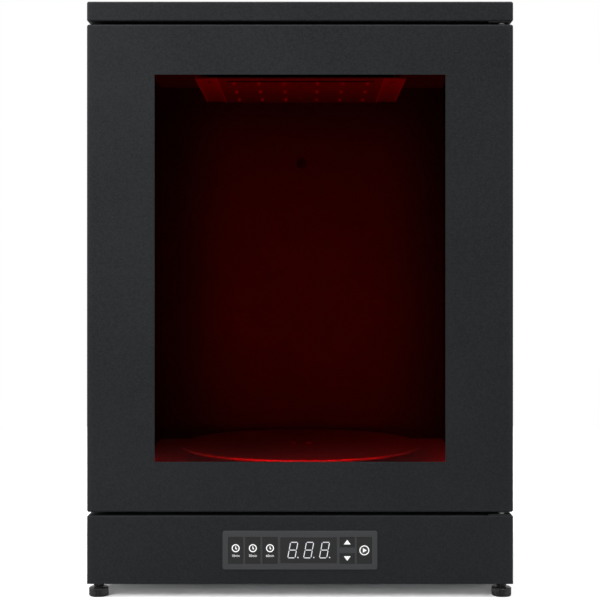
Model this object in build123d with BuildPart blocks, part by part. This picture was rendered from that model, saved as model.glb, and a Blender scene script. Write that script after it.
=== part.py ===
from build123d import *
import os

# Curing cabinet for resin prints: a steel box on four levelling feet, with a keypad in its
# plinth, a turntable under a ceiling lamp, and a door with a tinted window on two pivots.
# Frame: X to the right, Y to the rear, Z up; origin on the floor, at the middle of the footprint.

os.makedirs("parts", exist_ok=True)

# ---------------------------------------------------------------- driving sizes, millimetres
width = 500.0
depth = 500.0
foot_gap = 16.0  # floor to the underside of the plinth
base_height = 80.0  # plinth that holds the electronics
reveal = 4.0  # gap above and below the door
door_height = 572.0
cap_height = 23.0

steel = 1.5  # outer sheet
liner_steel = 1.2  # inner sheet
corner_fold = 2.5  # outside radius of the folds at the upright front corners and round the cap
door_fold = 2.5  # the same along the door's top and bottom
tight_fold = 1.5
slip = 0.1  # gap round a sheet that drops inside another
overlay_proud = 0.8  # the keypad's flange stands this far out of the plinth
rear_proud = 2.0  # screw heads, grille and inlet stand this far out of the rear

door_depth = 26.0
skin_return = 15.0  # depth of the door's outer pan
skin_lip = 14.0
liner_inset = 8.0  # the door's inner pan is this much smaller all round
stile_width = 79.5
rail_height = 59.0
seal_space = 1.5  # closed gap between the door and the cabinet's front frame

side_wall = 33.0  # cabinet side, outer face to chamber
rear_space = 55.0  # chamber's rear wall to the cabinet's rear
floor_rise = 34.0  # chamber floor above the plinth
ceiling_drop = 2.0  # chamber ceiling below the cap
mouth_side = 40.0
mouth_sill = 41.0
mouth_header = 31.0
mouth_return = 10.0

# ---------------------------------------------------------------- levels worked out from them
half_width = width / 2
front = -depth / 2 + overlay_proud
rear = depth / 2 - rear_proud
base_bottom = foot_gap
base_top = base_bottom + base_height
door_bottom = base_top + reveal
door_top = door_bottom + door_height
door_middle = (door_bottom + door_top) / 2
cap_bottom = door_top + reveal
cap_top = cap_bottom + cap_height
door_rear = front + door_depth
frame_front = door_rear + seal_space
frame_rear = frame_front + steel
rear_inside = rear - steel
inner_half = half_width - steel
chamber_half = half_width - side_wall
chamber_rear = rear - rear_space
floor_top = base_top + floor_rise
floor_bottom = floor_top - steel
ceiling = cap_bottom - ceiling_drop
ceiling_top = ceiling + liner_steel
mouth_half = half_width - mouth_side
mouth_bottom = base_top + mouth_sill
mouth_top = cap_bottom - mouth_header
window_half = half_width - stile_width
window_bottom = door_bottom + rail_height
window_top = door_top - rail_height


def both(reach):
    """The span from one side of the middle to the other."""
    return (-reach, reach)


def mirrored(near, far, side):
    """The span near..far on the right (side 1) or on the left (side -1)."""
    return (near, far) if side > 0 else (-far, -near)


def around(middle, size):
    return (middle - size / 2, middle + size / 2)


def block(x, y, z, mode=Mode.ADD):
    """Adds a rectangular block, given its span along X, Y and Z, to the part being built."""
    with Locations([((x[0] + x[1]) / 2, (y[0] + y[1]) / 2, (z[0] + z[1]) / 2)]):
        Box(x[1] - x[0], y[1] - y[0], z[1] - z[0], mode=mode)


def rounded_block(x, y, z, corner, top, bottom):
    """A block with its upright front corners rounded, then its top and bottom edges but the rear."""
    with BuildPart(mode=Mode.PRIVATE) as rounded:
        block(x, y, z)
        fillet(rounded.faces().sort_by(Axis.Y)[0].edges().filter_by(Axis.Z), corner)
        for end, radius in ((-1, top), (0, bottom)):
            if radius > 0:
                fillet(rounded.faces().sort_by(Axis.Z)[end].edges().sort_by(Axis.Y)[:-1], radius)
    return rounded.part


def upright(y):
    """A drawing plane across the cabinet at this Y: X to the right, Z up, facing the front."""
    return Plane.XZ.offset(-y)


def rod(centre, radius, z, mode=Mode.ADD):
    """Adds an upright cylinder between two heights."""
    with Locations([(centre[0], centre[1], (z[0] + z[1]) / 2)]):
        Cylinder(radius, z[1] - z[0], mode=mode)


def rod_along_y(centre, radius, y, mode=Mode.ADD):
    """Adds a cylinder along Y; centre is its X and Z."""
    with Locations([(centre[0], (y[0] + y[1]) / 2, centre[1])]):
        Cylinder(radius, y[1] - y[0], rotation=(90, 0, 0), mode=mode)


def write(part, label):
    part.label = label
    export_step(part, f"parts/{label}.step")


# ================================================================ plinth
# Keypad layout, from its left edge: three timer keys, the display, up and down, start.
pad_width = 181.5
pad_height = 45.3
pad_z = base_bottom + 39.7
pad_corner = 2.7
pad_margin = 6.5
key_width = 17.8
key_height = 31.6
arrow_height = 12.4
key_space = 2.3
display_space = 3.1
key_slack = 0.2
key_recess = 0.1
body_overlap = 2.7  # the flange laps this far over the steel
pad_body_depth = 5.0
pad_front = front - overlay_proud
pad_body_half = pad_width / 2 - body_overlap
pad_body_tall = pad_height / 2 - body_overlap
pad_body_rear = front + pad_body_depth

timer_xs = [
    -pad_width / 2 + pad_margin + key_width / 2 + i * (key_width + key_space) for i in range(3)
]
start_x = pad_width / 2 - pad_margin - key_width / 2
arrow_x = start_x - key_width - key_space
display_left = timer_xs[-1] + key_width / 2 + display_space
display_right = arrow_x - key_width / 2 - display_space
display_x = (display_left + display_right) / 2
display_width = display_right - display_left
display_height = 30.4
arrow_offset = (key_height - arrow_height) / 2
keys = {
    "key_timer_short": (timer_xs[0], pad_z, key_height),
    "key_timer_medium": (timer_xs[1], pad_z, key_height),
    "key_timer_long": (timer_xs[2], pad_z, key_height),
    "key_up": (arrow_x, pad_z + arrow_offset, arrow_height),
    "key_down": (arrow_x, pad_z - arrow_offset, arrow_height),
    "key_start": (start_x, pad_z, key_height),
}

# Mains inlet with its rocker switch, in the plinth's rear wall.
inlet_x = -185.0
inlet_z = base_bottom + 42.0
inlet_flange = (82.0, 32.0)
inlet_body = (70.0, 24.0)
inlet_depth = 26.0
socket_x = inlet_x - 17.0
socket_size = (24.4, 17.0)
socket_depth = 17.0
rocker_x = inlet_x + 21.0
rocker_size = (12.0, 18.0)
rocker_slack = 0.7
rocker_y = rear - 5.0
pivot_radius = 1.2
pivot_reach = 1.6  # each pivot stub stands this far out of the rocker

deck_edge = (70.0, 70.0, 48.0)  # deck left, right and front of its opening; rear below
deck_rear_edge = 46.0
base_screw_z = base_bottom + 8.0
base_screw_xs = (-230.0, -80.0, 80.0, 230.0)
screw_shank = 1.6
screw_hole = 1.8
screw_head = 3.2
screw_length = 7.0

foot_x = half_width - 12.0
foot_y = depth / 2 - 14.0
stud_radius = 4.0
thread_slack = 0.08

hinge_x = half_width - 12.6
hinge_y = front + 9.0
hinge_pin = 2.5
hinge_slack = 0.05
hinge_collar = 3.4
bush_flange = 5.0

with BuildPart() as base_shell:
    add(
        rounded_block(
            both(half_width), (front, rear), (base_bottom, base_top), corner_fold, tight_fold, 0
        )
    )
    add(
        rounded_block(
            both(inner_half),
            (front + steel, rear_inside),
            (base_bottom, base_top - steel),
            corner_fold - steel,
            0,
            0,
        ),
        mode=Mode.SUBTRACT,
    )
    block(
        (-half_width + deck_edge[0], half_width - deck_edge[1]),
        (front + deck_edge[2], rear - deck_rear_edge),
        (base_top - steel, base_top),
        Mode.SUBTRACT,
    )
    block(
        both(pad_body_half + slip),
        (front, front + steel),
        around(pad_z, 2 * (pad_body_tall + slip)),
        Mode.SUBTRACT,
    )
    block(
        around(inlet_x, inlet_body[0] + 2 * slip),
        (rear_inside, rear),
        around(inlet_z, inlet_body[1] + 2 * slip),
        Mode.SUBTRACT,
    )
    with BuildSketch(upright(rear)):
        with Locations([(x, base_screw_z) for x in base_screw_xs]):
            Circle(screw_hole)
        with Locations([(60.0, base_bottom + base_height / 2)]):
            with GridLocations(8.0, 1.0, 18, 1):
                SlotOverall(34.0, 3.0, rotation=90)
    extrude(amount=steel, mode=Mode.SUBTRACT)
write(base_shell.part, "base_shell")

plate_flange = 14.0
nut_height = 6.5
nut_radius = 7.4
board_corner = (95.0, 70.0)  # standoff pattern of the controller board
board_centre = (120.0, 40.0)
standoff_height = 8.0
plate_top = base_bottom + steel
with BuildPart() as base_plate:
    plate_x = inner_half - slip
    plate_front = front + steel + slip
    plate_rear = rear_inside - slip
    add(
        rounded_block(
            both(plate_x),
            (plate_front, plate_rear),
            (base_bottom, plate_top + plate_flange),
            corner_fold - steel,
            0,
            0,
        )
    )
    block(
        both(plate_x - steel),
        (plate_front + steel, plate_rear - steel),
        (plate_top, plate_top + plate_flange),
        Mode.SUBTRACT,
    )
    with BuildSketch(Plane.XY.offset(plate_top)):
        with GridLocations(2 * foot_x, 2 * foot_y, 2, 2):
            RegularPolygon(nut_radius, 6)
    extrude(amount=nut_height)
    with BuildSketch(Plane.XY.offset(plate_top)):
        with Locations([board_centre]):
            with GridLocations(board_corner[0], board_corner[1], 2, 2):
                Circle(3.0)
    extrude(amount=standoff_height)
    with BuildSketch(Plane.XY.offset(base_bottom)):
        with GridLocations(2 * foot_x, 2 * foot_y, 2, 2):
            Circle(stud_radius + thread_slack)
        with Locations([(-90.0, -120.0), (90.0, -120.0)]):
            with GridLocations(1.0, 9.0, 1, 8):
                SlotOverall(90.0, 4.0)
    extrude(amount=steel + nut_height, mode=Mode.SUBTRACT)
    with BuildSketch(upright(plate_rear)):
        with Locations([(x, base_screw_z) for x in base_screw_xs]):
            Circle(screw_hole)
    extrude(amount=steel, mode=Mode.SUBTRACT)
write(base_plate.part, "base_plate")

# Levelling feet: a knurled pad moulded on the end of a threaded stud.
pad_radius = 11.5
foot_pad_height = 10.0
foot_rim = 1.2
neck_radius = 6.2
neck_clear = 0.3  # the feet are screwed almost right in
stud_seat = 3.0
stud_top = base_bottom + 30.0
knurl_count = 40
knurl_radius = 0.45


def levelling_foot(x, y):
    with BuildPart() as foot:
        with BuildSketch(Plane.XY.offset(foot_rim)):
            with Locations([(x, y)]):
                Circle(pad_radius)
                with PolarLocations(pad_radius, knurl_count):
                    Circle(knurl_radius, mode=Mode.SUBTRACT)
        extrude(amount=foot_pad_height - 2 * foot_rim)
        rod((x, y), pad_radius - 0.6, (0, foot_rim))
        rod((x, y), pad_radius - 0.6, (foot_pad_height - foot_rim, foot_pad_height))
        rod((x, y), neck_radius, (foot_pad_height, base_bottom - neck_clear))
        rod((x, y), stud_radius, (stud_seat, base_bottom), Mode.SUBTRACT)
    with BuildPart() as stud:
        rod((x, y), stud_radius, (stud_seat, stud_top))
        chamfer(stud.edges().sort_by(Axis.Z)[-1], 0.8)
    return Compound(children=[foot.part, stud.part])


for side, x in (("left", -foot_x), ("right", foot_x)):
    for end, y in (("front", -foot_y), ("rear", foot_y)):
        write(levelling_foot(x, y), f"foot_{end}_{side}")

# Keypad frame: a flange on the outside of the plinth and a body through its cut-out.
ledge = 1.5  # the display lens rests on this
lens_depth = 2.3
post_radius = 1.5
post_xs = (-60.0, 60.0)
post_z = pad_body_tall - 1.8
board_front = front + 13.0
with BuildPart() as control_bezel:
    with BuildSketch(upright(front)):
        with Locations([(0, pad_z)]):
            RectangleRounded(pad_width, pad_height, pad_corner)
    extrude(amount=overlay_proud)
    chamfer(control_bezel.faces().sort_by(Axis.Y)[0].edges(), 0.3)
    block(
        both(pad_body_half),
        (front, pad_body_rear),
        around(pad_z, 2 * pad_body_tall),
    )
    for x, z, tall in keys.values():
        block(around(x, key_width), (pad_front, pad_body_rear), around(z, tall), Mode.SUBTRACT)
    block(
        around(display_x, display_width),
        (pad_front, pad_front + key_recess + lens_depth),
        around(pad_z, display_height),
        Mode.SUBTRACT,
    )
    block(
        around(display_x, display_width - 2 * ledge),
        (pad_front, pad_body_rear),
        around(pad_z, display_height - 2 * ledge),
        Mode.SUBTRACT,
    )
    for x in post_xs:
        for z in (pad_z - post_z, pad_z + post_z):
            rod_along_y((x, z), post_radius, (pad_body_rear, board_front))
write(control_bezel.part, "control_bezel")

with BuildPart() as display_lens:
    block(
        around(display_x, display_width - 2 * slip),
        (pad_front + key_recess, pad_front + key_recess + lens_depth),
        around(pad_z, display_height - 2 * slip),
    )
write(display_lens.part, "display_lens")

module_slack = 0.4
with BuildPart() as display_module:
    block(
        around(display_x, display_width - 2 * ledge - 2 * module_slack),
        (pad_front + key_recess + lens_depth + module_slack, board_front),
        around(pad_z, display_height - 2 * ledge - 2 * module_slack),
    )
write(display_module.part, "display_module")

# Each key is a cap with a flange behind the frame and a stem that reaches for its switch.
key_flange = 0.8
key_flange_depth = 1.0
key_play = 0.1
key_travel = 0.6
stem_radius = 2.0
switch_size = 6.0
switch_depth = 3.5
switch_button = 0.4
stem_end = board_front - switch_depth - switch_button - key_travel - key_play
for name, (x, z, tall) in keys.items():
    with BuildPart() as key:
        flange_front = pad_body_rear + key_play
        block(
            around(x, key_width - 2 * key_slack),
            (pad_front + key_recess, flange_front),
            around(z, tall - 2 * key_slack),
        )
        block(
            around(x, key_width + 2 * key_flange),
            (flange_front, flange_front + key_flange_depth),
            around(z, tall + 2 * key_flange),
        )
        rod_along_y((x, z), stem_radius, (flange_front + key_flange_depth, stem_end))
    write(key.part, name)

board_depth = 1.6
with BuildPart() as control_board:
    block(
        both(pad_body_half - 1.0),
        (board_front, board_front + board_depth),
        around(pad_z, 2 * pad_body_tall - 1.0),
    )
write(control_board.part, "control_board")

with BuildPart() as key_switches:
    for x, z, tall in keys.values():
        block(
            around(x, switch_size),
            (board_front - switch_depth, board_front),
            around(z, switch_size),
        )
        rod_along_y(
            (x, z), stem_radius, (board_front - switch_depth - switch_button, board_front - switch_depth)
        )
write(key_switches.part, "key_switches")

# Power supply and controller board, on the plinth's floor.
supply_centre = (-90.0, 60.0)
supply_size = (98.0, 160.0, 38.0)
with BuildPart() as power_supply:
    block(
        around(supply_centre[0], supply_size[0]),
        around(supply_centre[1], supply_size[1]),
        (plate_top, plate_top + supply_size[2]),
    )
    chamfer(power_supply.edges().filter_by(Axis.Y), 1.5)
    with BuildSketch(Plane.XY.offset(plate_top + supply_size[2])):
        with Locations([supply_centre]):
            with GridLocations(9.0, 9.0, 9, 12):
                Circle(2.5)
    extrude(amount=-1.0, mode=Mode.SUBTRACT)
write(power_supply.part, "power_supply")

board_level = plate_top + standoff_height
with BuildPart() as main_board:
    block(
        around(board_centre[0], board_corner[0] + 12.0),
        around(board_centre[1], board_corner[1] + 12.0),
        (board_level, board_level + board_depth),
    )
    parts_level = board_level + board_depth
    block(
        around(board_centre[0] - 25.0, 28.0),
        around(board_centre[1], 24.0),
        (parts_level, parts_level + 20.0),
    )
    for i in range(3):
        can = (board_centre[0] + 5.0 + 14.0 * i, board_centre[1] + 18.0)
        rod(can, 5.0, (parts_level, parts_level + 16.0))
    for i in range(4):
        block(
            around(board_centre[0] - 30.0 + 20.0 * i, 14.0),
            around(board_centre[1] - 30.0, 8.0),
            (parts_level, parts_level + 9.0),
        )
write(main_board.part, "main_board")

pin_size = (2.0, 4.2)
pin_pitch = 7.0
socket_floor = rear + rear_proud - socket_depth
with BuildPart() as inlet_housing:
    with BuildSketch(upright(rear + rear_proud)):
        with Locations([(inlet_x, inlet_z)]):
            RectangleRounded(inlet_flange[0], inlet_flange[1], 3.0)
    extrude(amount=rear_proud)
    chamfer(inlet_housing.faces().sort_by(Axis.Y)[-1].edges(), 0.5)
    block(
        around(inlet_x, inlet_body[0]),
        (rear + rear_proud - inlet_depth, rear),
        around(inlet_z, inlet_body[1]),
    )
    with BuildSketch(upright(rear + rear_proud)):
        with Locations([(socket_x, inlet_z)]):
            RectangleRounded(socket_size[0], socket_size[1], 2.0)
    extrude(amount=socket_depth, mode=Mode.SUBTRACT)
    block(
        around(rocker_x, rocker_size[0] + 2 * rocker_slack),
        (rear - 14.0, rear + rear_proud),
        around(inlet_z, rocker_size[1] + 2 * rocker_slack),
        Mode.SUBTRACT,
    )
    with Locations([(rocker_x, rocker_y, inlet_z)]):
        Cylinder(
            pivot_radius + hinge_slack,
            rocker_size[0] + 2 * pivot_reach + 0.4,
            rotation=(0, 90, 0),
            mode=Mode.SUBTRACT,
        )
with BuildPart() as inlet_contacts:
    for step, drop in ((-1, -1.5), (0, 2.0), (1, -1.5)):
        block(
            around(socket_x + step * pin_pitch, pin_size[0]),
            (socket_floor, rear + rear_proud - 3.0),
            around(inlet_z + drop, pin_size[1]),
        )
write(Compound(children=[inlet_housing.part, inlet_contacts.part]), "power_inlet")

# Rocker, pressed in at its lower end: two facets that meet over the pivot.
rocker_tilt = 7.0
with BuildPart() as switch_rocker:
    reach = rocker_size[1] / 2
    rocker_side = (rocker_x - rocker_size[0] / 2, rocker_y, inlet_z)
    with BuildSketch(Plane(rocker_side, x_dir=(0, 1, 0), z_dir=(1, 0, 0))):
        with BuildLine():
            Polyline(
                (4.6, reach),
                (3.0, 0),
                (4.6, -reach),
                (0.5, -reach),
                (-4.0, -3.0),
                (-4.0, 3.0),
                (0.5, reach),
                close=True,
            )
        make_face()
    extrude(amount=rocker_size[0])
    with Locations([(rocker_x, rocker_y, inlet_z)]):
        Cylinder(pivot_radius, rocker_size[0] + 2 * pivot_reach, rotation=(0, 90, 0))
rocker_axis = Axis((rocker_x, rocker_y, inlet_z), (1, 0, 0))
write(switch_rocker.part.rotate(rocker_axis, rocker_tilt), "switch_rocker")

# ================================================================ cabinet
side_return_front = 8.0
side_return_rear = 16.0
side_return_ends = 15.0
rear_screw_x = inner_half - side_return_rear / 2
rear_screw_count = 5
rear_screw_margin = 26.0
rear_screw_pitch = (cap_bottom - base_top - 2 * rear_screw_margin) / (rear_screw_count - 1)
rear_screws = [
    (side * rear_screw_x, base_top + rear_screw_margin + i * rear_screw_pitch)
    for side in (-1, 1)
    for i in range(rear_screw_count)
]


def side_panel(side):
    with BuildPart() as panel:
        block(mirrored(inner_half, half_width, side), (frame_front, rear), (base_top, cap_bottom))
        block(
            mirrored(inner_half - side_return_front, inner_half, side),
            (frame_rear, frame_rear + steel),
            (base_top, cap_bottom),
        )
        block(
            mirrored(inner_half - side_return_rear, inner_half, side),
            (rear_inside - steel, rear_inside),
            (base_top, cap_bottom),
        )
        for low in (base_top, cap_bottom - steel):
            block(
                mirrored(inner_half - side_return_ends, inner_half, side),
                (frame_rear + steel, rear_inside - steel),
                (low, low + steel),
            )
        with BuildSketch(upright(rear_inside)):
            with Locations([p for p in rear_screws if p[0] * side > 0]):
                Circle(screw_hole)
        extrude(amount=steel, mode=Mode.SUBTRACT)
    return panel.part


write(side_panel(-1), "side_panel_left")
write(side_panel(1), "side_panel_right")

# Front frame: the face that the door shuts against, with a folded mouth and two magnet holes.
magnet_x = -(mouth_half + 22.0)
magnet_size = (11.0, 40.0)
magnet_depth = 11.0
magnet_proud = 0.2
magnet_offset = 180.0
magnet_zs = [door_middle - magnet_offset, door_middle + magnet_offset]
with BuildPart() as front_frame:
    block(both(inner_half - slip), (frame_front, frame_rear), (base_top, cap_bottom))
    block(
        both(mouth_half + steel),
        (frame_rear, frame_front + mouth_return),
        (mouth_bottom - steel, mouth_top + steel),
    )
    block(
        both(mouth_half),
        (frame_front, frame_front + mouth_return),
        (mouth_bottom, mouth_top),
        Mode.SUBTRACT,
    )
    for z in magnet_zs:
        block(
            around(magnet_x, magnet_size[0] + 2 * slip),
            (frame_front, frame_rear),
            around(z, magnet_size[1] + 2 * slip),
            Mode.SUBTRACT,
        )
write(front_frame.part, "front_frame")

with BuildPart() as catch_magnets:
    for z in magnet_zs:
        block(
            around(magnet_x, magnet_size[0]),
            (frame_front - magnet_proud, frame_rear),
            around(z, magnet_size[1]),
        )
        block(
            around(magnet_x, magnet_size[0] + 4.0),
            (frame_rear, frame_rear + magnet_depth),
            around(z, magnet_size[1] + 6.0),
        )
write(catch_magnets.part, "catch_magnets")

switch_z = door_middle
with BuildPart() as door_switch:
    block(around(magnet_x, 9.0), (frame_rear, frame_rear + 8.0), around(switch_z, 32.0))
    rod_along_y((magnet_x, switch_z), 2.0, (frame_rear + 8.0, frame_rear + 14.0))
write(door_switch.part, "door_switch")

# Rear panel with the fan's opening and two fields of slots.
fan_z = cap_bottom - 76.0
fan_size = 80.0
fan_bore = 38.0
fan_depth = 25.0
fan_hole_pitch = 71.5
with BuildPart() as back_panel:
    block(both(inner_half - slip), (rear_inside, rear), (base_top, cap_bottom))
    with BuildSketch(upright(rear)):
        with Locations([(0, fan_z)]):
            Circle(fan_bore)
        with Locations([(-150.0, floor_top + 90.0), (150.0, floor_top + 90.0)]):
            with GridLocations(1.0, 10.0, 1, 9):
                SlotOverall(80.0, 4.0)
        with Locations(rear_screws):
            Circle(screw_hole)
    extrude(amount=steel, mode=Mode.SUBTRACT)
write(back_panel.part, "back_panel")

with BuildPart() as case_screws:
    for x, z in rear_screws + [(x, base_screw_z) for x in base_screw_xs]:
        rod_along_y((x, z), screw_shank, (rear - screw_length, rear))
        with BuildSketch(upright(rear)):
            with Locations([(x, z)]):
                Circle(screw_head)
        extrude(amount=-(rear_proud - 0.2))
        with BuildSketch(upright(rear + rear_proud - 0.2)):
            with Locations([(x, z)]):
                Rectangle(3.6, 0.9)
                Rectangle(0.9, 3.6)
        extrude(amount=0.9, mode=Mode.SUBTRACT)
write(case_screws.part, "case_screws")

# Exhaust fan on the rear panel's inside: frame with four struts and an axle, rotor, guard.
fan_front = rear_inside - fan_depth
fan_hub = 17.0
fan_tip = 36.5
fan_web = 2.5
axle_radius = 2.0
with BuildPart() as fan_housing:
    with BuildSketch(upright(rear_inside)):
        with Locations([(0, fan_z)]):
            RectangleRounded(fan_size, fan_size, 4.0)
            Circle(fan_bore, mode=Mode.SUBTRACT)
            with GridLocations(fan_hole_pitch, fan_hole_pitch, 2, 2):
                Circle(2.2, mode=Mode.SUBTRACT)
    extrude(amount=fan_depth)
    with BuildSketch(upright(fan_front + fan_web)):
        with Locations([(0, fan_z)]):
            Circle(fan_hub - 1.0)
            Rectangle(3.0, 2 * fan_bore + 2.0)
            Rectangle(2 * fan_bore + 2.0, 3.0)
    extrude(amount=fan_web)
    rod_along_y((0, fan_z), axle_radius, (fan_front + fan_web, rear_inside - 6.0))
write(fan_housing.part, "fan_housing")

blade_count = 7
blade_pitch = 38.0
with BuildPart() as fan_rotor:
    rotor_span = (fan_front + fan_web + 0.8, rear_inside - 3.0)
    rod_along_y((0, fan_z), fan_hub, rotor_span)
    rod_along_y((0, fan_z), axle_radius + hinge_slack, (rotor_span[0], rear_inside - 5.0), Mode.SUBTRACT)
    rotor_middle = (rotor_span[0] + rotor_span[1]) / 2
    blade_length = fan_tip - fan_hub + 2.0
    for i in range(blade_count):
        turn = Rotation(0, i * 360.0 / blade_count, 0)
        set_out = Pos(fan_hub - 2.0 + blade_length / 2, 0, 0) * Rotation(blade_pitch, 0, 0)
        blade = Pos(0, rotor_middle, fan_z) * turn * set_out * Box(
            blade_length, 1.6, 19.0, mode=Mode.PRIVATE
        )
        add(blade)
    chamfer(fan_rotor.faces().sort_by(Axis.Y)[-1].edges(), 0.8)
write(fan_rotor.part, "fan_rotor")

guard_depth = 1.8
with BuildPart() as fan_guard:
    with BuildSketch(upright(rear + guard_depth)):
        with Locations([(0, fan_z)]):
            for radius in (36.0, 28.0, 20.0, 12.0):
                Circle(radius)
                Circle(radius - 1.7, mode=Mode.SUBTRACT)
            for turn in (45, 135):
                Rectangle(101.5, 2.0, rotation=turn)
            with GridLocations(fan_hole_pitch, fan_hole_pitch, 2, 2):
                Circle(4.2)
    extrude(amount=guard_depth)
write(fan_guard.part, "fan_guard")

# Cap: a folded tray upside down, with a wide front flange that roofs the door.
cap_front_flange = 40.0
cap_flange = 20.0
with BuildPart() as top_cover:
    add(
        rounded_block(
            both(half_width), (front, rear), (cap_bottom, cap_top), corner_fold, corner_fold, tight_fold
        )
    )
    add(
        rounded_block(
            both(inner_half),
            (front + steel, rear_inside),
            (cap_bottom + steel, cap_top - steel),
            corner_fold - steel,
            corner_fold - steel,
            0,
        ),
        mode=Mode.SUBTRACT,
    )
    block(
        both(half_width - cap_flange),
        (front + cap_front_flange, rear - cap_flange),
        (cap_bottom, cap_bottom + steel),
        Mode.SUBTRACT,
    )
write(top_cover.part, "top_cover")

# ================================================================ chamber
shaft_radius = 4.0
shaft_slack = 0.05
floor_hole = 9.0
rail_outer = chamber_half - 5.0
rail_inner = chamber_half - 27.0
liner_front = frame_rear
liner_rear = chamber_rear + liner_steel
with BuildPart() as chamber_floor:
    block(both(chamber_half + liner_steel), (liner_front, liner_rear), (floor_bottom, floor_top))
    rod((0, 0), floor_hole, (floor_bottom, floor_top), Mode.SUBTRACT)
write(chamber_floor.part, "chamber_floor")

with BuildPart() as floor_rails:
    for side in (-1, 1):
        rail_y = (liner_front + 5.0, chamber_rear - 3.0)
        block(mirrored(rail_inner, rail_outer, side), rail_y, (base_top, floor_bottom))
        block(
            mirrored(rail_inner, rail_outer - steel, side),
            rail_y,
            (base_top + steel, floor_bottom - steel),
            Mode.SUBTRACT,
        )
write(floor_rails.part, "floor_rails")

sensor_z = floor_top + 427.0
sensor_radius = 7.8
sensor_neck = 5.0
with BuildPart() as chamber_liner:
    block(both(chamber_half + liner_steel), (liner_front, liner_rear), (floor_top, ceiling))
    block(both(chamber_half), (liner_front, chamber_rear), (floor_top, ceiling), Mode.SUBTRACT)
    rod_along_y((0, sensor_z), sensor_neck + slip, (chamber_rear, liner_rear), Mode.SUBTRACT)
write(chamber_liner.part, "chamber_liner")

with BuildPart() as chamber_sensor:
    rod_along_y((0, sensor_z), sensor_radius, (chamber_rear - 2.5, chamber_rear))
    chamfer(chamber_sensor.faces().sort_by(Axis.Y)[0].edges(), 0.8)
    rod_along_y((0, sensor_z), 2.6, (chamber_rear - 2.5, chamber_rear - 1.3), Mode.SUBTRACT)
    rod_along_y((0, sensor_z), sensor_neck, (chamber_rear, liner_rear))
    rod_along_y((0, sensor_z), sensor_radius, (liner_rear, liner_rear + 9.0))
write(chamber_sensor.part, "chamber_sensor")

# Ceiling lamp: a carrier plate on four posts, with the lamp board below and a heat sink above.
lamp_drop = 37.5  # ceiling to the carrier plate's underside
carrier_size = (276.0, 186.0)
carrier_y = 1.5
carrier_lip = 7.0
lamp_level = ceiling - lamp_drop
carrier_top = lamp_level + steel
post_offset = (133.0, 82.0)
lamp_post_radius = 2.8
with BuildPart() as chamber_ceiling:
    block(both(chamber_half + liner_steel), (liner_front, liner_rear), (ceiling, ceiling_top))
    with BuildSketch(Plane.XY.offset(ceiling)):
        with GridLocations(1.0, 12.0, 1, 12):
            SlotOverall(190.0, 5.0)
    extrude(amount=liner_steel, mode=Mode.SUBTRACT)
write(chamber_ceiling.part, "chamber_ceiling")

lamp_size = (221.0, 194.0)
lamp_y = -5.0
lamp_board_depth = 1.6
lamp_bottom = lamp_level - lamp_board_depth
lamp_slot = (195.0, 5.5)
lamp_slot_y = lamp_y - 74.0
emitter_rows = [-73.0, -7.0, 59.0]
emitter_columns = [22.2, 55.3, 88.4]
carrier_screws = [(x, y) for x in (-121.0, 121.0) for y in (-70.0, 80.0)]
lamp_screws = [(x, y) for x in (-71.5, 0.0, 71.5) for y in (-53.0, 54.0)]
with BuildPart() as led_plate:
    plate_y = around(carrier_y, carrier_size[1])
    block(both(carrier_size[0] / 2), plate_y, (lamp_level, carrier_top))
    for side in (-1, 1):
        block(
            mirrored(carrier_size[0] / 2 - steel, carrier_size[0] / 2, side),
            plate_y,
            (carrier_top, lamp_level + carrier_lip),
        )
    with BuildSketch(Plane.XY.offset(lamp_level)):
        with Locations(carrier_screws + lamp_screws):
            Circle(screw_hole)
        with Locations([(0, lamp_slot_y)]):
            SlotOverall(lamp_slot[0], lamp_slot[1])
    extrude(amount=steel, mode=Mode.SUBTRACT)
write(led_plate.part, "led_plate")

with BuildPart() as led_board:
    with BuildSketch(Plane.XY.offset(lamp_bottom)):
        with Locations([(0, lamp_y)]):
            Rectangle(lamp_size[0], lamp_size[1])
        with Locations([(0, lamp_slot_y)]):
            SlotOverall(lamp_slot[0], lamp_slot[1], mode=Mode.SUBTRACT)
        with Locations(lamp_screws):
            Circle(screw_hole, mode=Mode.SUBTRACT)
    extrude(amount=lamp_board_depth)
write(led_board.part, "led_board")

emitter_radius = 2.6
emitter_height = 3.6
with BuildPart() as emitter:
    Cylinder(emitter_radius, emitter_height, align=(Align.CENTER, Align.CENTER, Align.MIN))
    fillet(emitter.faces().sort_by(Axis.Z)[-1].edges(), emitter_radius - 0.3)

with BuildPart() as led_emitters:
    for y in emitter_rows:
        for column in emitter_columns:
            with Locations([(x, y, lamp_bottom) for x in both(column)]):
                add(emitter.part, rotation=(180, 0, 0))
write(led_emitters.part, "led_emitters")

sink_size = (244.0, 170.0)
sink_base = 3.0
sink_height = 24.0
fin_count = 18
fin_width = 1.6
with BuildPart() as led_heatsink:
    block(both(sink_size[0] / 2), around(carrier_y, sink_size[1]), (carrier_top, carrier_top + sink_base))
    fin_pitch = (sink_size[1] - fin_width) / (fin_count - 1)
    for i in range(fin_count):
        block(
            both(sink_size[0] / 2),
            around(carrier_y - sink_size[1] / 2 + fin_width / 2 + i * fin_pitch, fin_width),
            (carrier_top + sink_base, carrier_top + sink_height),
        )
    for x, y in carrier_screws + lamp_screws:
        rod((x, y), screw_hole, (carrier_top, carrier_top + sink_base), Mode.SUBTRACT)
write(led_heatsink.part, "led_heatsink")

with BuildPart() as led_posts:
    for x in both(post_offset[0]):
        for y in both(post_offset[1]):
            rod((x, carrier_y + y), lamp_post_radius, (carrier_top, ceiling))
write(led_posts.part, "led_posts")

with BuildPart() as led_screws:
    for points, level in ((carrier_screws, lamp_level), (lamp_screws, lamp_bottom)):
        for point in points:
            rod(point, screw_shank, (level, carrier_top + sink_base - 0.5))
            rod(point, 2.8, (level - 1.6, level))
write(led_screws.part, "led_screws")

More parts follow.
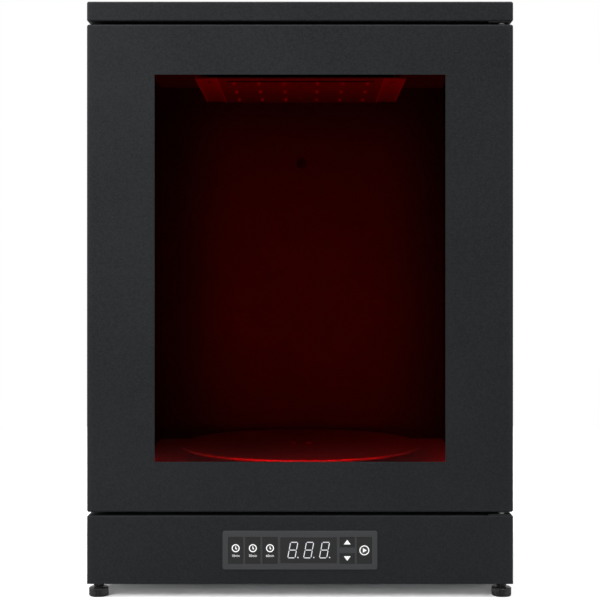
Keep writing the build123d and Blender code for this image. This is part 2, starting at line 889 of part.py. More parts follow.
# Side lamps: one aluminium bar in each front corner of the chamber.
bar_depth = 12.0
bar_width = 32.0
bar_setback = 20.0
bar_bottom = floor_top + 35.0
bar_top = ceiling - 40.0
bar_front = frame_rear + bar_setback
bar_groove = 3.0
bar_emitters = 10
with BuildPart() as side_led_bars:
    for side in (-1, 1):
        bar_y = (bar_front, bar_front + bar_width)
        block(mirrored(chamber_half - bar_depth, chamber_half, side), bar_y, (bar_bottom, bar_top))
        block(
            mirrored(chamber_half - bar_depth, chamber_half - bar_depth + bar_groove, side),
            (bar_front + 3.0, bar_front + bar_width - 3.0),
            (bar_bottom + 3.0, bar_top - 3.0),
            Mode.SUBTRACT,
        )
write(side_led_bars.part, "side_led_bars")

with BuildPart() as side_led_emitters:
    bar_pitch = (bar_top - bar_bottom) / bar_emitters
    bar_middle = bar_front + bar_width / 2
    for side in (-1, 1):
        face = side * (chamber_half - bar_depth + bar_groove)
        spots = [(face, bar_middle, bar_bottom + (i + 0.5) * bar_pitch) for i in range(bar_emitters)]
        with Locations(spots):
            add(emitter.part, rotation=(0, -90 * side, 0))
write(side_led_emitters.part, "side_led_emitters")

# ================================================================ turntable and its drive
table_radius = 165.0
table_thickness = 3.0
table_rise = 18.5  # floor to the table's top
table_top = floor_top + table_rise
table_bottom = table_top - table_thickness
hub_radius = 20.0
hub_height = 5.0
boss_radius = 15.2
flange_radius = 36.0
flange_height = 2.5
flange_screw_circle = 31.0
boss_top = table_bottom - hub_height - 1.0
table_screw_offset = 10.7
with BuildPart() as turntable_plate:
    rod((0, 0), table_radius, (table_bottom, table_top))
    chamfer(turntable_plate.faces().sort_by(Axis.Z)[-1].edges(), 0.6)
    for x in both(table_screw_offset):
        rod((x, 0), 2.2, (table_bottom, table_top), Mode.SUBTRACT)
write(turntable_plate.part, "turntable_plate")

with BuildPart() as turntable_hub:
    rod((0, 0), hub_radius, (table_bottom - hub_height, table_bottom))
    rod((0, 0), shaft_radius + shaft_slack, (table_bottom - hub_height, table_bottom), Mode.SUBTRACT)
    for x in both(table_screw_offset):
        rod((x, 0), 2.2, (table_bottom - hub_height, table_bottom), Mode.SUBTRACT)
write(turntable_hub.part, "turntable_hub")

with BuildPart() as turntable_screws:
    for x in both(table_screw_offset):
        rod((x, 0), 2.0, (table_bottom - hub_height + 0.5, table_top))
        rod((x, 0), 3.6, (table_top, table_top + 2.2))
    chamfer(turntable_screws.faces().group_by(Axis.Z)[-1].edges(), 0.7)
write(turntable_screws.part, "turntable_screws")

motor_radius = 30.0
motor_gap = 2.5  # above the plinth
shaft_bottom = floor_bottom - 11.0
with BuildPart() as drive_shaft:
    rod((0, 0), shaft_radius, (shaft_bottom, table_bottom))
write(drive_shaft.part, "drive_shaft")

with BuildPart() as bearing_flange:
    rod((0, 0), flange_radius, (floor_top, floor_top + flange_height))
    rod((0, 0), boss_radius, (floor_top, boss_top))
    rod((0, 0), 8.0, (floor_top, boss_top), Mode.SUBTRACT)
with BuildPart() as bearing_bush:
    rod((0, 0), 8.0, (floor_top, boss_top))
    rod((0, 0), shaft_radius + shaft_slack, (floor_top, boss_top), Mode.SUBTRACT)
with BuildPart() as bearing_screws:
    with BuildSketch(Plane.XY.offset(floor_top + flange_height)):
        with PolarLocations(flange_screw_circle, 4):
            Circle(3.0)
    extrude(amount=2.0)
write(
    Compound(children=[bearing_flange.part, bearing_bush.part, bearing_screws.part]),
    "bearing_housing",
)

with BuildPart() as gear_motor:
    rod((0, 0), motor_radius, (base_top + motor_gap, floor_bottom - 4.0))
    chamfer(gear_motor.edges().sort_by(Axis.Z)[0], 2.0)
    block(both(motor_radius + 9.0), both(8.0), (floor_bottom - 4.0, floor_bottom - 2.5))
    rod((0, 0), 7.0, (floor_bottom - 4.0, floor_bottom))
    rod((0, 0), shaft_radius + shaft_slack, (shaft_bottom - 1.0, floor_bottom), Mode.SUBTRACT)
    for x in both(motor_radius + 4.5):
        rod((x, 0), 3.0, (floor_bottom - 2.5, floor_bottom))
write(gear_motor.part, "gear_motor")

# ================================================================ door
pane_lap = 8.0
pane_thickness = 3.0
pane_front = front + steel
pane_rear = pane_front + pane_thickness
clamp_lap = 3.5
stud_offset = 14.0
clamp_rear = pane_rear + liner_steel
nut_depth = 2.4
skin_rear = front + skin_return
liner_half = half_width - liner_inset
liner_bottom = door_bottom + liner_inset
liner_top = door_top - liner_inset
light_gap = 7.5  # the inner pan's opening is this much wider than the window


def ring(outer, inner, y):
    """Adds a rectangular ring in the XZ plane; outer and inner are (half width, bottom, top)."""
    block(both(outer[0]), y, (outer[1], outer[2]))
    block(both(inner[0]), y, (inner[1], inner[2]), Mode.SUBTRACT)


def window_plus(margin):
    """Half width, bottom and top of a rectangle this much larger than the window."""
    return (window_half + margin, window_bottom - margin, window_top + margin)


with BuildPart() as door_skin:
    add(
        rounded_block(
            both(half_width),
            (front, skin_rear),
            (door_bottom, door_top),
            corner_fold,
            door_fold,
            door_fold,
        )
    )
    add(
        rounded_block(
            both(inner_half),
            (front + steel, skin_rear - steel),
            (door_bottom + steel, door_top - steel),
            corner_fold - steel,
            door_fold - steel,
            door_fold - steel,
        ),
        mode=Mode.SUBTRACT,
    )
    block(
        both(inner_half - skin_lip),
        (skin_rear - steel, skin_rear),
        (door_bottom + steel + skin_lip, door_top - steel - skin_lip),
        Mode.SUBTRACT,
    )
    block(both(window_half), (front, front + steel), (window_bottom, window_top), Mode.SUBTRACT)
    for z in ((door_bottom, door_bottom + steel), (door_top - steel, door_top)):
        rod((hinge_x, hinge_y), 4.0 + slip, z, Mode.SUBTRACT)
write(door_skin.part, "door_skin")

with BuildPart() as window_pane:
    pane = window_plus(pane_lap)
    block(both(pane[0]), (pane_front, pane_rear), (pane[1], pane[2]))
write(window_pane.part, "window_pane")

# Clamp frame behind the pane, on studs welded to the skin.
stud_frame = window_plus(stud_offset)
stud_rows = 5
stud_points = [
    (side * stud_frame[0], stud_frame[1] + i * (stud_frame[2] - stud_frame[1]) / (stud_rows - 1))
    for side in (-1, 1)
    for i in range(stud_rows)
] + [(0.0, stud_frame[1]), (0.0, stud_frame[2])]
with BuildPart() as pane_frame:
    ring(window_plus(stud_offset + 5.5), window_plus(clamp_lap), (pane_rear, clamp_rear))
    for point in stud_points:
        rod_along_y(point, 1.8, (pane_rear, clamp_rear), Mode.SUBTRACT)
write(pane_frame.part, "pane_frame")

with BuildPart() as pane_nuts:
    for x, z in stud_points:
        rod_along_y((x, z), 1.5, (front + steel, clamp_rear + nut_depth + 1.5))
        with BuildSketch(upright(clamp_rear + nut_depth)):
            with Locations([(x, z)]):
                RegularPolygon(3.1, 6)
        extrude(amount=nut_depth)
write(pane_nuts.part, "pane_nuts")

with BuildPart() as door_liner:
    block(both(liner_half), (skin_rear, door_rear), (liner_bottom, liner_top))
    fillet(door_liner.faces().sort_by(Axis.Y)[-1].edges(), 2.5)
    block(
        both(liner_half - liner_steel),
        (skin_rear, door_rear - liner_steel),
        (liner_bottom + liner_steel, liner_top - liner_steel),
        Mode.SUBTRACT,
    )
    reveal_front = clamp_rear + 3.0
    outer = window_plus(light_gap + liner_steel)
    inner = window_plus(light_gap)
    block(both(outer[0]), (reveal_front, door_rear), (outer[1], outer[2]))
    block(both(inner[0]), (reveal_front, door_rear), (inner[1], inner[2]), Mode.SUBTRACT)
write(door_liner.part, "door_liner")

seal_width = 7.0
seal_depth = seal_space - 0.3
seal_outer = (mouth_half + 9.5, mouth_bottom - 8.0 - seal_width, mouth_top + 5.0 + seal_width)
seal_inner = (mouth_half + 9.5 - seal_width, mouth_bottom - 8.0, mouth_top + 5.0)
with BuildPart() as door_seal:
    ring(seal_outer, seal_inner, (door_rear, door_rear + seal_depth))
write(door_seal.part, "door_seal")

strike_depth = seal_space - magnet_proud - 0.3
with BuildPart() as strike_plates:
    for z in magnet_zs:
        block(
            around(magnet_x, magnet_size[0] + 1.0),
            (door_rear, door_rear + strike_depth),
            around(z, magnet_size[1] + 4.0),
        )
write(strike_plates.part, "strike_plates")

# Pivots: a bracket with a pin on the plinth and on the cap, a moulded bearing block in the door.
bracket_thickness = 1.5
collar_height = 1.2
pin_reach = 15.0
block_height = 20.0
pivot_gap = 0.1
bearing_flange_height = reveal - bracket_thickness - collar_height - pivot_gap
with BuildPart() as hinge_bushes:
    for edge, up in ((door_bottom, 1), (door_top, -1)):
        inside = edge + up * steel
        block(
            (hinge_x - 12.0, inner_half - 1.6),
            (front + steel + 1.6, skin_rear - steel - 0.1),
            tuple(sorted((inside, inside + up * block_height))),
        )
        rod((hinge_x, hinge_y), 4.0, tuple(sorted((edge, inside))))
        rod((hinge_x, hinge_y), bush_flange, tuple(sorted((edge - up * bearing_flange_height, edge))))
        bore = tuple(sorted((edge - up * bearing_flange_height, edge + up * (pin_reach + 2.0))))
        rod((hinge_x, hinge_y), hinge_pin + hinge_slack, bore, Mode.SUBTRACT)
write(hinge_bushes.part, "hinge_bushes")

with BuildPart() as hinge_pins:
    for seat, up in ((base_top, 1), (cap_bottom, -1)):
        bracket_face = seat + up * bracket_thickness
        block(
            (hinge_x - 16.0, half_width - 2.0),
            (front + 1.5, frame_front - 2.0),
            tuple(sorted((seat, bracket_face))),
        )
        collar = tuple(sorted((bracket_face, bracket_face + up * collar_height)))
        pin = tuple(sorted((bracket_face, seat + up * (reveal + pin_reach))))
        rod((hinge_x, hinge_y), hinge_collar, collar)
        rod((hinge_x, hinge_y), hinge_pin, pin)
write(hinge_pins.part, "hinge_pins")
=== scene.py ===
import math

import bmesh
import bpy
from mathutils import Matrix, Vector
from mathutils.geometry import tessellate_polygon


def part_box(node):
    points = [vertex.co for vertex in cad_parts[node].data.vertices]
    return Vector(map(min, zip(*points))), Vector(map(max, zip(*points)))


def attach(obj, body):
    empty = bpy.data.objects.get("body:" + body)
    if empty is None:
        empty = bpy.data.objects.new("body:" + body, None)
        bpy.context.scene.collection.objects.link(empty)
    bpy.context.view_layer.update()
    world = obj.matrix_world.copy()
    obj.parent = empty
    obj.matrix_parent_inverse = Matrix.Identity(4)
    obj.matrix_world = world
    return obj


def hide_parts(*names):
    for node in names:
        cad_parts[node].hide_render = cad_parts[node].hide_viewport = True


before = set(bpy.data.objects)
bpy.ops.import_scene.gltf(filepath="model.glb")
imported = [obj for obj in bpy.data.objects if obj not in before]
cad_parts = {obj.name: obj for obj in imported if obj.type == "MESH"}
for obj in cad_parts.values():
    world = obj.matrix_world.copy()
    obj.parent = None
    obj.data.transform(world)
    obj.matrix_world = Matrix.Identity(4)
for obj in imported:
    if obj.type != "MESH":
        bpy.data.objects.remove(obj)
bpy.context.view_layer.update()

# ---------------------------------------------------------------- outer sheet steel
# The base, sides, cap, rear, front frame and door skin are folded from 1.5 mm sheet steel and
# powder coated in charcoal, with a fine sand texture. A painted highlight makes the coat paler
# round the case's upright folds.


class Wire:
    """A value in a material's node tree; arithmetic on it adds Math nodes."""

    def __init__(self, tree, socket=None):
        self.tree = tree
        self.socket = socket

    def node(self, kind, settings=None, values=None, output=0):
        """Adds a node, sets or links its inputs, and returns one of its outputs."""
        node = self.tree.nodes.new(kind)
        for name, value in (settings or {}).items():
            setattr(node, name, value)
        for name, value in (values or {}).items():
            if isinstance(value, Wire):
                self.tree.links.new(value.socket, node.inputs[name])
            else:
                node.inputs[name].default_value = value
        return Wire(self.tree, node.outputs[output] if node.outputs else None)

    def maths(self, operation, *values):
        return self.node("ShaderNodeMath", {"operation": operation}, dict(enumerate(values)))

    def __add__(self, other):
        return self.maths("ADD", self, other)

    __radd__ = __add__

    def __sub__(self, other):
        return self.maths("SUBTRACT", self, other)

    def __rsub__(self, other):
        return self.maths("SUBTRACT", other, self)

    def __mul__(self, other):
        return self.maths("MULTIPLY", self, other)

    __rmul__ = __mul__

    def __truediv__(self, other):
        return self.maths("DIVIDE", self, other)

    def __rtruediv__(self, other):
        return self.maths("DIVIDE", other, self)

    def __abs__(self):
        return self.maths("ABSOLUTE", self)

    def ramp(self, low, high, start=0.0, end=1.0):
        """This value taken smoothly from low..high to start..end."""
        return self.node(
            "ShaderNodeMapRange",
            {"interpolation_type": "SMOOTHSTEP"},
            {"Value": self, "From Min": low, "From Max": high, "To Min": start, "To Max": end},
        )

    def place(self):
        return self.node("ShaderNodeTexCoord", output="Object")

    def axis(self, letter):
        """One axis of the place on the object, in metres."""
        return self.node("ShaderNodeSeparateXYZ", values={"Vector": self.place()}, output=letter)

    def noise(self, scale, detail=2.0, stretch=(1.0, 1.0, 1.0)):
        place = self.node("ShaderNodeMapping", values={"Vector": self.place(), "Scale": stretch})
        return self.node(
            "ShaderNodeTexNoise", values={"Vector": place, "Scale": scale, "Detail": detail}
        )

    def blend(self, share, first, second):
        """Two colours mixed by share."""
        mix = self.tree.nodes.new("ShaderNodeMix")
        mix.data_type = "RGBA"
        for index, value in ((0, share), (6, first), (7, second)):
            if isinstance(value, Wire):
                self.tree.links.new(value.socket, mix.inputs[index])
            else:
                mix.inputs[index].default_value = value
        return Wire(self.tree, mix.outputs[2])

    def bump(self, height, strength, distance):
        return self.node(
            "ShaderNodeBump", values={"Height": height, "Strength": strength, "Distance": distance}
        )


def grey(level, tint=(1.0, 1.0, 1.0)):
    return (level * tint[0], level * tint[1], level * tint[2], 1.0)


def new_material(name):
    """An empty material and the start of its node tree."""
    material = bpy.data.materials.new(name)
    material.use_nodes = True
    material.node_tree.nodes.clear()
    return material, Wire(material.node_tree)


def surface(start, values):
    """Closes the material with a Principled shader that takes these values."""
    shader = start.node("ShaderNodeBsdfPrincipled", values=values)
    start.node("ShaderNodeOutputMaterial", values={"Surface": shader})


def paint(material, *names):
    """Gives CAD nodes this material."""
    for name in names:
        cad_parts[name].data.materials.clear()
        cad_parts[name].data.materials.append(material)


coat_dark = (0.0070, 0.0076, 0.0084, 1.0)
coat_light = (0.0158, 0.0170, 0.0184, 1.0)
coat, start = new_material("sand_powder_coat")
sand = start.noise(620.0, 3.0)
cloud = start.noise(9.0, 2.0)
case_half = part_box("top_cover")[1].x
fold_reach = 0.0085
# Painted highlight: the coat is made paler within fold_reach of the case's upright side edges.
painted_fold_highlight = abs(start.axis("X")).ramp(case_half - fold_reach, case_half) * 0.45
share = sand.ramp(0.3, 0.7) * 0.8 + cloud.ramp(0.3, 0.7) * 0.2 + painted_fold_highlight
surface(
    start,
    {
        "Base Color": start.blend(share, coat_dark, coat_light),
        "Roughness": sand.ramp(0.2, 0.8, 0.5, 0.66),
        "Specular IOR Level": 0.1,
        "Normal": start.bump(sand, 0.35, 0.0004),
    },
)
paint(coat, "base_shell", "side_panel_left", "side_panel_right", "front_frame", "back_panel")
paint(coat, "top_cover", "door_skin")

# ---------------------------------------------------------------- door's inner pan
# The pan that closes the door from inside is pressed from 1.2 mm sheet, and drops into the
# outer skin. It is coated smooth black, with the slight orange peel of a gloss powder coat.
inner_coat, start = new_material("smooth_black_coat")
orange_peel = start.noise(260.0, 1.0)
surface(
    start,
    {
        "Base Color": start.blend(orange_peel, grey(0.008), grey(0.014)),
        "Roughness": orange_peel.ramp(0.2, 0.8, 0.32, 0.42),
        "Normal": start.bump(orange_peel, 0.08, 0.0005),
    },
)
paint(inner_coat, "door_liner")

# ---------------------------------------------------------------- zinc-plated steel
# The base plate, floor rails, clamp frame, strike plates and shaft are steel with a bright zinc
# plating. They are folded from sheet or turned, and are held by screws.
zinc, start = new_material("zinc_plating")
spangle = start.noise(120.0, 3.0)
rub = start.noise(60.0, 2.0, (1.0, 1.0, 14.0))
bluish = grey(0.42, (1, 1.01, 1.04))
surface(
    start,
    {
        "Base Color": start.blend(spangle.ramp(0.35, 0.65), bluish, grey(0.58)),
        "Metallic": 1.0,
        "Roughness": rub.ramp(0.3, 0.7, 0.28, 0.42),
        "Normal": start.bump(rub, 0.05, 0.0003),
    },
)
paint(zinc, "base_plate", "floor_rails", "pane_frame", "strike_plates", "drive_shaft")

# ---------------------------------------------------------------- pivot brackets
# Each bracket is a flat plate of 1.5 mm sheet, coated like the case, on the plinth or under the
# cap. Its collar and pin are turned steel, pressed in and left bare.
bracket, start = new_material("bracket_and_pin")
pin_x = 0.2374
pin_y = -0.2402
bare_radius = 0.0037
across = start.axis("X") - pin_x
along = start.axis("Y") - pin_y
from_pin = start.maths("SQRT", across * across + along * along)
bare = from_pin.ramp(bare_radius - 0.0001, bare_radius + 0.0001, 1.0, 0.0)
surface(
    start,
    {
        "Base Color": start.blend(bare, coat_dark, grey(0.5)),
        "Metallic": bare * 0.6,
        "Roughness": start.noise(300.0).ramp(0.2, 0.8, 0.4, 0.6),
        "Specular IOR Level": 0.15,
    },
)
paint(bracket, "hinge_pins")

# ---------------------------------------------------------------- chamber sheets
# The chamber's liner, floor and ceiling are taken as rolled stainless sheet, grained along one
# direction and screwed together at their flanges. Their greys are guesses, set for how they look
# through the pane, and carry painted light: the floor is a much paler copy, as painted light, the
# ceiling a darker one, as painted shade, and the liner has a painted pool of light on the middle of
# its rear wall that darkens to painted shade towards its sides, top and foot.
stainless, start = new_material("rolled_stainless")
grain = start.noise(90.0, 3.0, (1.0, 1.0, 26.0))
smear = start.noise(7.0, 2.0)
painted_light_middle = 0.011
# Painted light: a pool of light on the middle of the rear wall, with painted shade towards its
# sides, top and foot.
painted_light_pool = (
    abs(start.axis("X") - painted_light_middle).ramp(0.10, 0.215, 1.0, 0.10)
    * start.axis("Z").ramp(0.57, 0.67, 1.0, 0.5)
    * start.axis("Z").ramp(0.14, 0.38, 0.5, 1.0)
)
bright = grain.ramp(0.3, 0.7) * 0.3 + painted_light_pool * 0.7
surface(
    start,
    {
        "Base Color": start.blend(bright, grey(0.006), grey(0.146)),
        "Metallic": 0.12,
        "Specular IOR Level": 0.25,
        "Roughness": smear.ramp(0.3, 0.7, 0.34, 0.42),
        "Normal": start.bump(grain, 0.04, 0.0003),
    },
)
paint(stainless, "chamber_liner")

# Painted light: the floor is the same stainless made much paler, as a lit copy.
painted_lit_floor_sheet, start = new_material("floor_stainless_painted_light")
grain = start.noise(90.0, 3.0, (1.0, 26.0, 1.0))
smear = start.noise(7.0, 2.0)
surface(
    start,
    {
        "Base Color": start.blend(grain.ramp(0.3, 0.7), grey(0.80), grey(0.90)),
        "Metallic": 0.3,
        "Roughness": smear.ramp(0.3, 0.7, 0.4, 0.5),
        "Normal": start.bump(grain, 0.04, 0.0003),
    },
)
paint(painted_lit_floor_sheet, "chamber_floor")

# Painted shade: the ceiling is the same stainless made darker, as a shaded copy.
painted_shaded_ceiling_sheet, start = new_material("ceiling_stainless_painted_shade")
grain = start.noise(90.0, 3.0, (1.0, 26.0, 1.0))
surface(
    start,
    {
        "Base Color": start.blend(grain.ramp(0.3, 0.7), grey(0.12), grey(0.16)),
        "Metallic": 0.2,
        "Roughness": start.noise(7.0).ramp(0.3, 0.7, 0.4, 0.5),
    },
)
paint(painted_shaded_ceiling_sheet, "chamber_ceiling")

# ---------------------------------------------------------------- turntable
# The turntable is a disc cut from 3 mm stainless sheet and faced on a lathe, which leaves fine
# circles. Its rim carries a painted highlight, paler and less metallic, and it is screwed down
# on its hub.
table_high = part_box("turntable_plate")[1]
table_radius = table_high.x
lip = 0.0010
table_sheet, start = new_material("turntable_stainless")
radius = start.maths(
    "SQRT", start.axis("X") * start.axis("X") + start.axis("Y") * start.axis("Y")
)
circles = start.node(
    "ShaderNodeTexNoise",
    {"noise_dimensions": "1D"},
    {"W": radius * 900.0, "Scale": 1.0, "Detail": 3.0},
)
# Painted highlight: edge marks the top rim of the disc, which is made paler and less metallic.
edge = radius.ramp(table_radius - lip, table_radius - lip + 0.0004) * start.axis("Z").ramp(
    table_high.z - lip - 0.0003, table_high.z - lip + 0.0005
)
surface(
    start,
    {
        "Base Color": start.blend(edge, start.blend(circles, grey(0.54), grey(0.68)), grey(0.72)),
        "Metallic": 0.6 - edge * 0.5,
        "Roughness": circles.ramp(0.3, 0.7, 0.3, 0.42),
        "Normal": start.bump(circles, 0.04, 0.0003),
    },
)
paint(table_sheet, "turntable_plate")

# ---------------------------------------------------------------- turntable screws
# Two pan-head screws hold the turntable on its hub. They are zinc-plated steel, made paler and
# less metallic than the zinc elsewhere as a painted highlight, lighter than the sheet round them.
pale_zinc_painted_highlight, start = new_material("pale_zinc_painted_highlight")
speck = start.noise(400.0, 2.0)
surface(
    start,
    {
        "Base Color": start.blend(speck, grey(0.75), grey(0.9)),
        "Metallic": 0.3,
        "Roughness": speck.ramp(0.3, 0.7, 0.3, 0.45),
    },
)
paint(pale_zinc_painted_highlight, "turntable_screws")

# ---------------------------------------------------------------- aluminium
# The lamp's posts, the side bars, the hub and the bearing housing are cut or turned from satin
# aluminium. The power supply's case is folded from perforated aluminium sheet.
aluminium, start = new_material("satin_aluminium")
drawn = start.noise(70.0, 2.0, (1.0, 9.0, 1.0))
surface(
    start,
    {
        "Base Color": start.blend(drawn.ramp(0.3, 0.7), grey(0.66), grey(0.78)),
        "Metallic": 0.6,
        "Roughness": drawn.ramp(0.3, 0.7, 0.34, 0.46),
        "Normal": start.bump(drawn, 0.04, 0.0003),
    },
)
paint(aluminium, "led_posts", "side_led_bars", "turntable_hub", "bearing_housing", "power_supply")

# ---------------------------------------------------------------- lamp plate and heat sink
# The lamp's carrier plate is taken as satin aluminium. It is paler towards the door, as painted
# light, and at its side folds, as a painted highlight. The finned heat sink screwed on top of it
# is an extrusion, black anodised; its black also stands in for painted shade above the plate.
lamp_plate, start = new_material("lamp_plate")
drawn = start.noise(70.0, 2.0, (1.0, 9.0, 1.0))
plate_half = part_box("led_plate")[1].x
# Painted highlight on the side folds, and painted light that grows stronger towards the door.
painted_lip_highlight = abs(start.axis("X")).ramp(plate_half - 0.0030, plate_half - 0.0004)
painted_front_light = start.axis("Y").ramp(-0.11, 0.08, 1.0, 0.12)
surface(
    start,
    {
        "Base Color": start.blend(
            painted_front_light + painted_lip_highlight, grey(0.3), start.blend(drawn, grey(0.92), grey(1.0))
        ),
        "Metallic": 0.4 - painted_lip_highlight * 0.4,
        "Roughness": drawn.ramp(0.3, 0.7, 0.34, 0.46),
    },
)
paint(lamp_plate, "led_plate")

# Painted shade: the near-black anodising also stands in for the shade above the lamp plate.
anodised, start = new_material("black_anodised")
drawn = start.noise(80.0, 2.0, (1.0, 6.0, 1.0))
surface(
    start,
    {
        "Base Color": start.blend(drawn, grey(0.006), grey(0.012)),
        "Metallic": 0.3,
        "Roughness": drawn.ramp(0.3, 0.7, 0.4, 0.5),
        "Specular IOR Level": 0.2,
    },
)
paint(anodised, "led_heatsink")

# ---------------------------------------------------------------- gear motor
# The turntable's gear motor has a plated steel can, screwed up under the chamber's floor. A
# blank paper band is glued round it.
motor_can, start = new_material("motor_can")
band_middle = 0.109
band_half = 0.005
band = start.maths("COMPARE", start.axis("Z"), band_middle, band_half)
wipe = start.noise(50.0, 2.0, (1.0, 1.0, 8.0))
surface(
    start,
    {
        "Base Color": start.blend(band, grey(0.4), grey(0.75)),
        "Metallic": 1.0 - band * 0.9,
        "Roughness": wipe.ramp(0.3, 0.7, 0.3, 0.45),
    },
)
paint(motor_can, "gear_motor")

# ---------------------------------------------------------------- window
# The window is one sheet of dark red transparent acrylic, 3 mm thick. It lies behind the skin's
# opening, pressed there by the clamp frame. Its foot carries a stronger painted reflection than
# the rest.
red_pane, start = new_material("red_acrylic")
tint = start.noise(4.0, 1.0)
red_thin = (0.60, 0.0012, 0.0012, 1.0)
red_thick = (0.58, 0.0010, 0.0010, 1.0)
through = start.node(
    "ShaderNodeBsdfTransparent",
    values={"Color": start.blend(tint.ramp(0.3, 0.7), red_thick, red_thin)},
)
gloss = start.node(
    "ShaderNodeBsdfPrincipled",
    values={"Base Color": grey(1.0), "Metallic": 1.0, "Roughness": 0.02},
)
# Painted reflection: the mirror share is raised towards the foot of the pane.
painted_reflection_share = start.axis("Z").ramp(0.15, 0.20, 0.0016, 0.0002)
pane = start.node("ShaderNodeMixShader", values={0: painted_reflection_share, 1: through, 2: gloss})
start.node("ShaderNodeOutputMaterial", values={"Surface": pane})
paint(red_pane, "window_pane")

# ---------------------------------------------------------------- black plastic
# The fan's housing, the inlet, rocker, switches, sensor and pivot blocks are moulded in black
# plastic with a finely pebbled skin. They are screwed or snapped into the sheet.
black_plastic, start = new_material("black_plastic")
pebble = start.noise(900.0, 1.0)
surface(
    start,
    {
        "Base Color": start.blend(pebble, grey(0.008), grey(0.014)),
        "Roughness": pebble.ramp(0.2, 0.8, 0.42, 0.55),
        "Normal": start.bump(pebble, 0.1, 0.0002),
    },
)
paint(black_plastic, "display_module", "power_inlet", "switch_rocker", "fan_housing")
paint(black_plastic, "key_switches", "door_switch", "chamber_sensor", "hinge_bushes")
paint(black_plastic, "catch_magnets")

# ---------------------------------------------------------------- boards
# The controller and keypad boards are green laminate, with copper tracks under the solder mask,
# and are held by screws on spacers.
board_green, start = new_material("green_board")
tracks = start.node(
    "ShaderNodeTexBrick",
    values={
        "Vector": start.place(),
        "Color1": (0.012, 0.10, 0.035, 1),
        "Color2": (0.010, 0.085, 0.030, 1),
        "Mortar": (0.022, 0.16, 0.06, 1),
        "Scale": 260.0,
        "Mortar Size": 0.05,
    },
)
surface(start, {"Base Color": tracks, "Roughness": start.noise(40.0).ramp(0.3, 0.7, 0.3, 0.4)})
paint(board_green, "control_board", "main_board")

# ---------------------------------------------------------------- lamp board
# The lamp's board is aluminium under a pale solder mask, screwed up against the carrier plate.
# Its cut edge carries a painted highlight and its slot a wide band of painted shade. The mask is
# darker to the rear, as painted shade.
lamp_mask, start = new_material("white_solder_mask")
mottle = start.noise(30.0, 2.0)
board_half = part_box("led_board")[1].x
# Painted highlight: cut makes the board's cut edges pale.
cut = abs(start.axis("X")).ramp(board_half - 0.0025, board_half - 0.0019)
# Painted shade: a dark band round the slot, and the mask darker towards the rear.
slot_y = -0.0798
slot_shade_ends = abs(start.axis("X")).ramp(0.0968, 0.0974, 1.0, 0.0)
slot_shade_sides = abs(start.axis("Y") - slot_y).ramp(0.0050, 0.0054, 1.0, 0.0)
painted_rear_shade_and_mottle = start.axis("Y").ramp(-0.10, 0.10) * 0.9 + mottle.ramp(0.3, 0.7) * 0.1
mask = start.blend(painted_rear_shade_and_mottle, grey(0.34, (1.0, 0.99, 0.96)), grey(0.10, (1.0, 0.99, 0.96)))
surface(
    start,
    {
        "Base Color": start.blend(
            slot_shade_ends * slot_shade_sides, start.blend(cut, mask, grey(0.9)), grey(0.012)
        ),
        "Roughness": mottle.ramp(0.3, 0.7, 0.35, 0.5),
    },
)
paint(lamp_mask, "led_board")

# ---------------------------------------------------------------- keypad frame and display lens
# The keypad's frame is moulded in dark grey satin plastic and snaps into the plinth. The lens
# over the display is smoked, with a satin face, and is glued into the frame.
panel_plastic, start = new_material("panel_plastic")
fine = start.noise(1500.0, 2.0)
cool = (0.97, 1.0, 1.06)
surface(
    start,
    {
        "Base Color": start.blend(fine, grey(0.035, cool), grey(0.042, cool)),
        "Specular IOR Level": 0.2,
        "Roughness": fine.ramp(0.2, 0.8, 0.5, 0.6),
        "Normal": start.bump(fine, 0.08, 0.0001),
    },
)
paint(panel_plastic, "control_bezel")

lens_plastic, start = new_material("smoked_lens")
satin = start.noise(1800.0, 1.0)
smoke = (0.98, 1.0, 1.04)
surface(
    start,
    {
        "Base Color": start.blend(satin, grey(0.015, smoke), grey(0.018, smoke)),
        "Specular IOR Level": 0.15,
        "Roughness": satin.ramp(0.2, 0.8, 0.42, 0.5),
    },
)
paint(lens_plastic, "display_lens")

# ---------------------------------------------------------------- keys and their marks
# Six charcoal satin caps move behind the frame. Their marks are white, lit from behind, and lie
# flush on each cap: a clock and its minutes, two arrows, and a round start mark.
key_plastic, start = new_material("key_plastic")
satin = start.noise(1600.0, 1.0)
charcoal = (0.98, 1.0, 1.03)
surface(
    start,
    {
        "Base Color": start.blend(satin, grey(0.014, charcoal), grey(0.017, charcoal)),
        "Specular IOR Level": 0.15,
        "Roughness": satin.ramp(0.2, 0.8, 0.46, 0.56),
        "Normal": start.bump(satin, 0.06, 0.0001),
    },
)
keys = ("key_timer_short", "key_timer_medium", "key_timer_long", "key_up", "key_down", "key_start")
paint(key_plastic, *keys)

mark_white, start = new_material("mark_white")
surface(
    start,
    {
        "Base Color": start.blend(start.noise(800.0), grey(0.8), grey(0.86)),
        "Roughness": 0.5,
        "Emission Color": grey(1.0),
        "Emission Strength": 0.28,
    },
)
mark_black, start = new_material("mark_black")
speckle = start.noise(800.0)
surface(start, {"Base Color": start.blend(speckle, grey(0.004), grey(0.007)), "Roughness": 0.5})


def mesh_object(name, points, faces, material, smooth_angle=None):
    """A mesh in the row frame, in metres, with its normals outwards."""
    mesh = bpy.data.meshes.new(name)
    mesh.from_pydata([tuple(p) for p in points], [], faces)
    shape = bmesh.new()
    shape.from_mesh(mesh)
    bmesh.ops.recalc_face_normals(shape, faces=shape.faces)
    shape.to_mesh(mesh)
    shape.free()
    mesh.materials.append(material)
    if smooth_angle:
        mesh.shade_smooth()
        mesh.set_sharp_from_angle(angle=math.radians(smooth_angle))
    obj = bpy.data.objects.new(name, mesh)
    bpy.context.scene.collection.objects.link(obj)
    return obj


ink = 0.00004


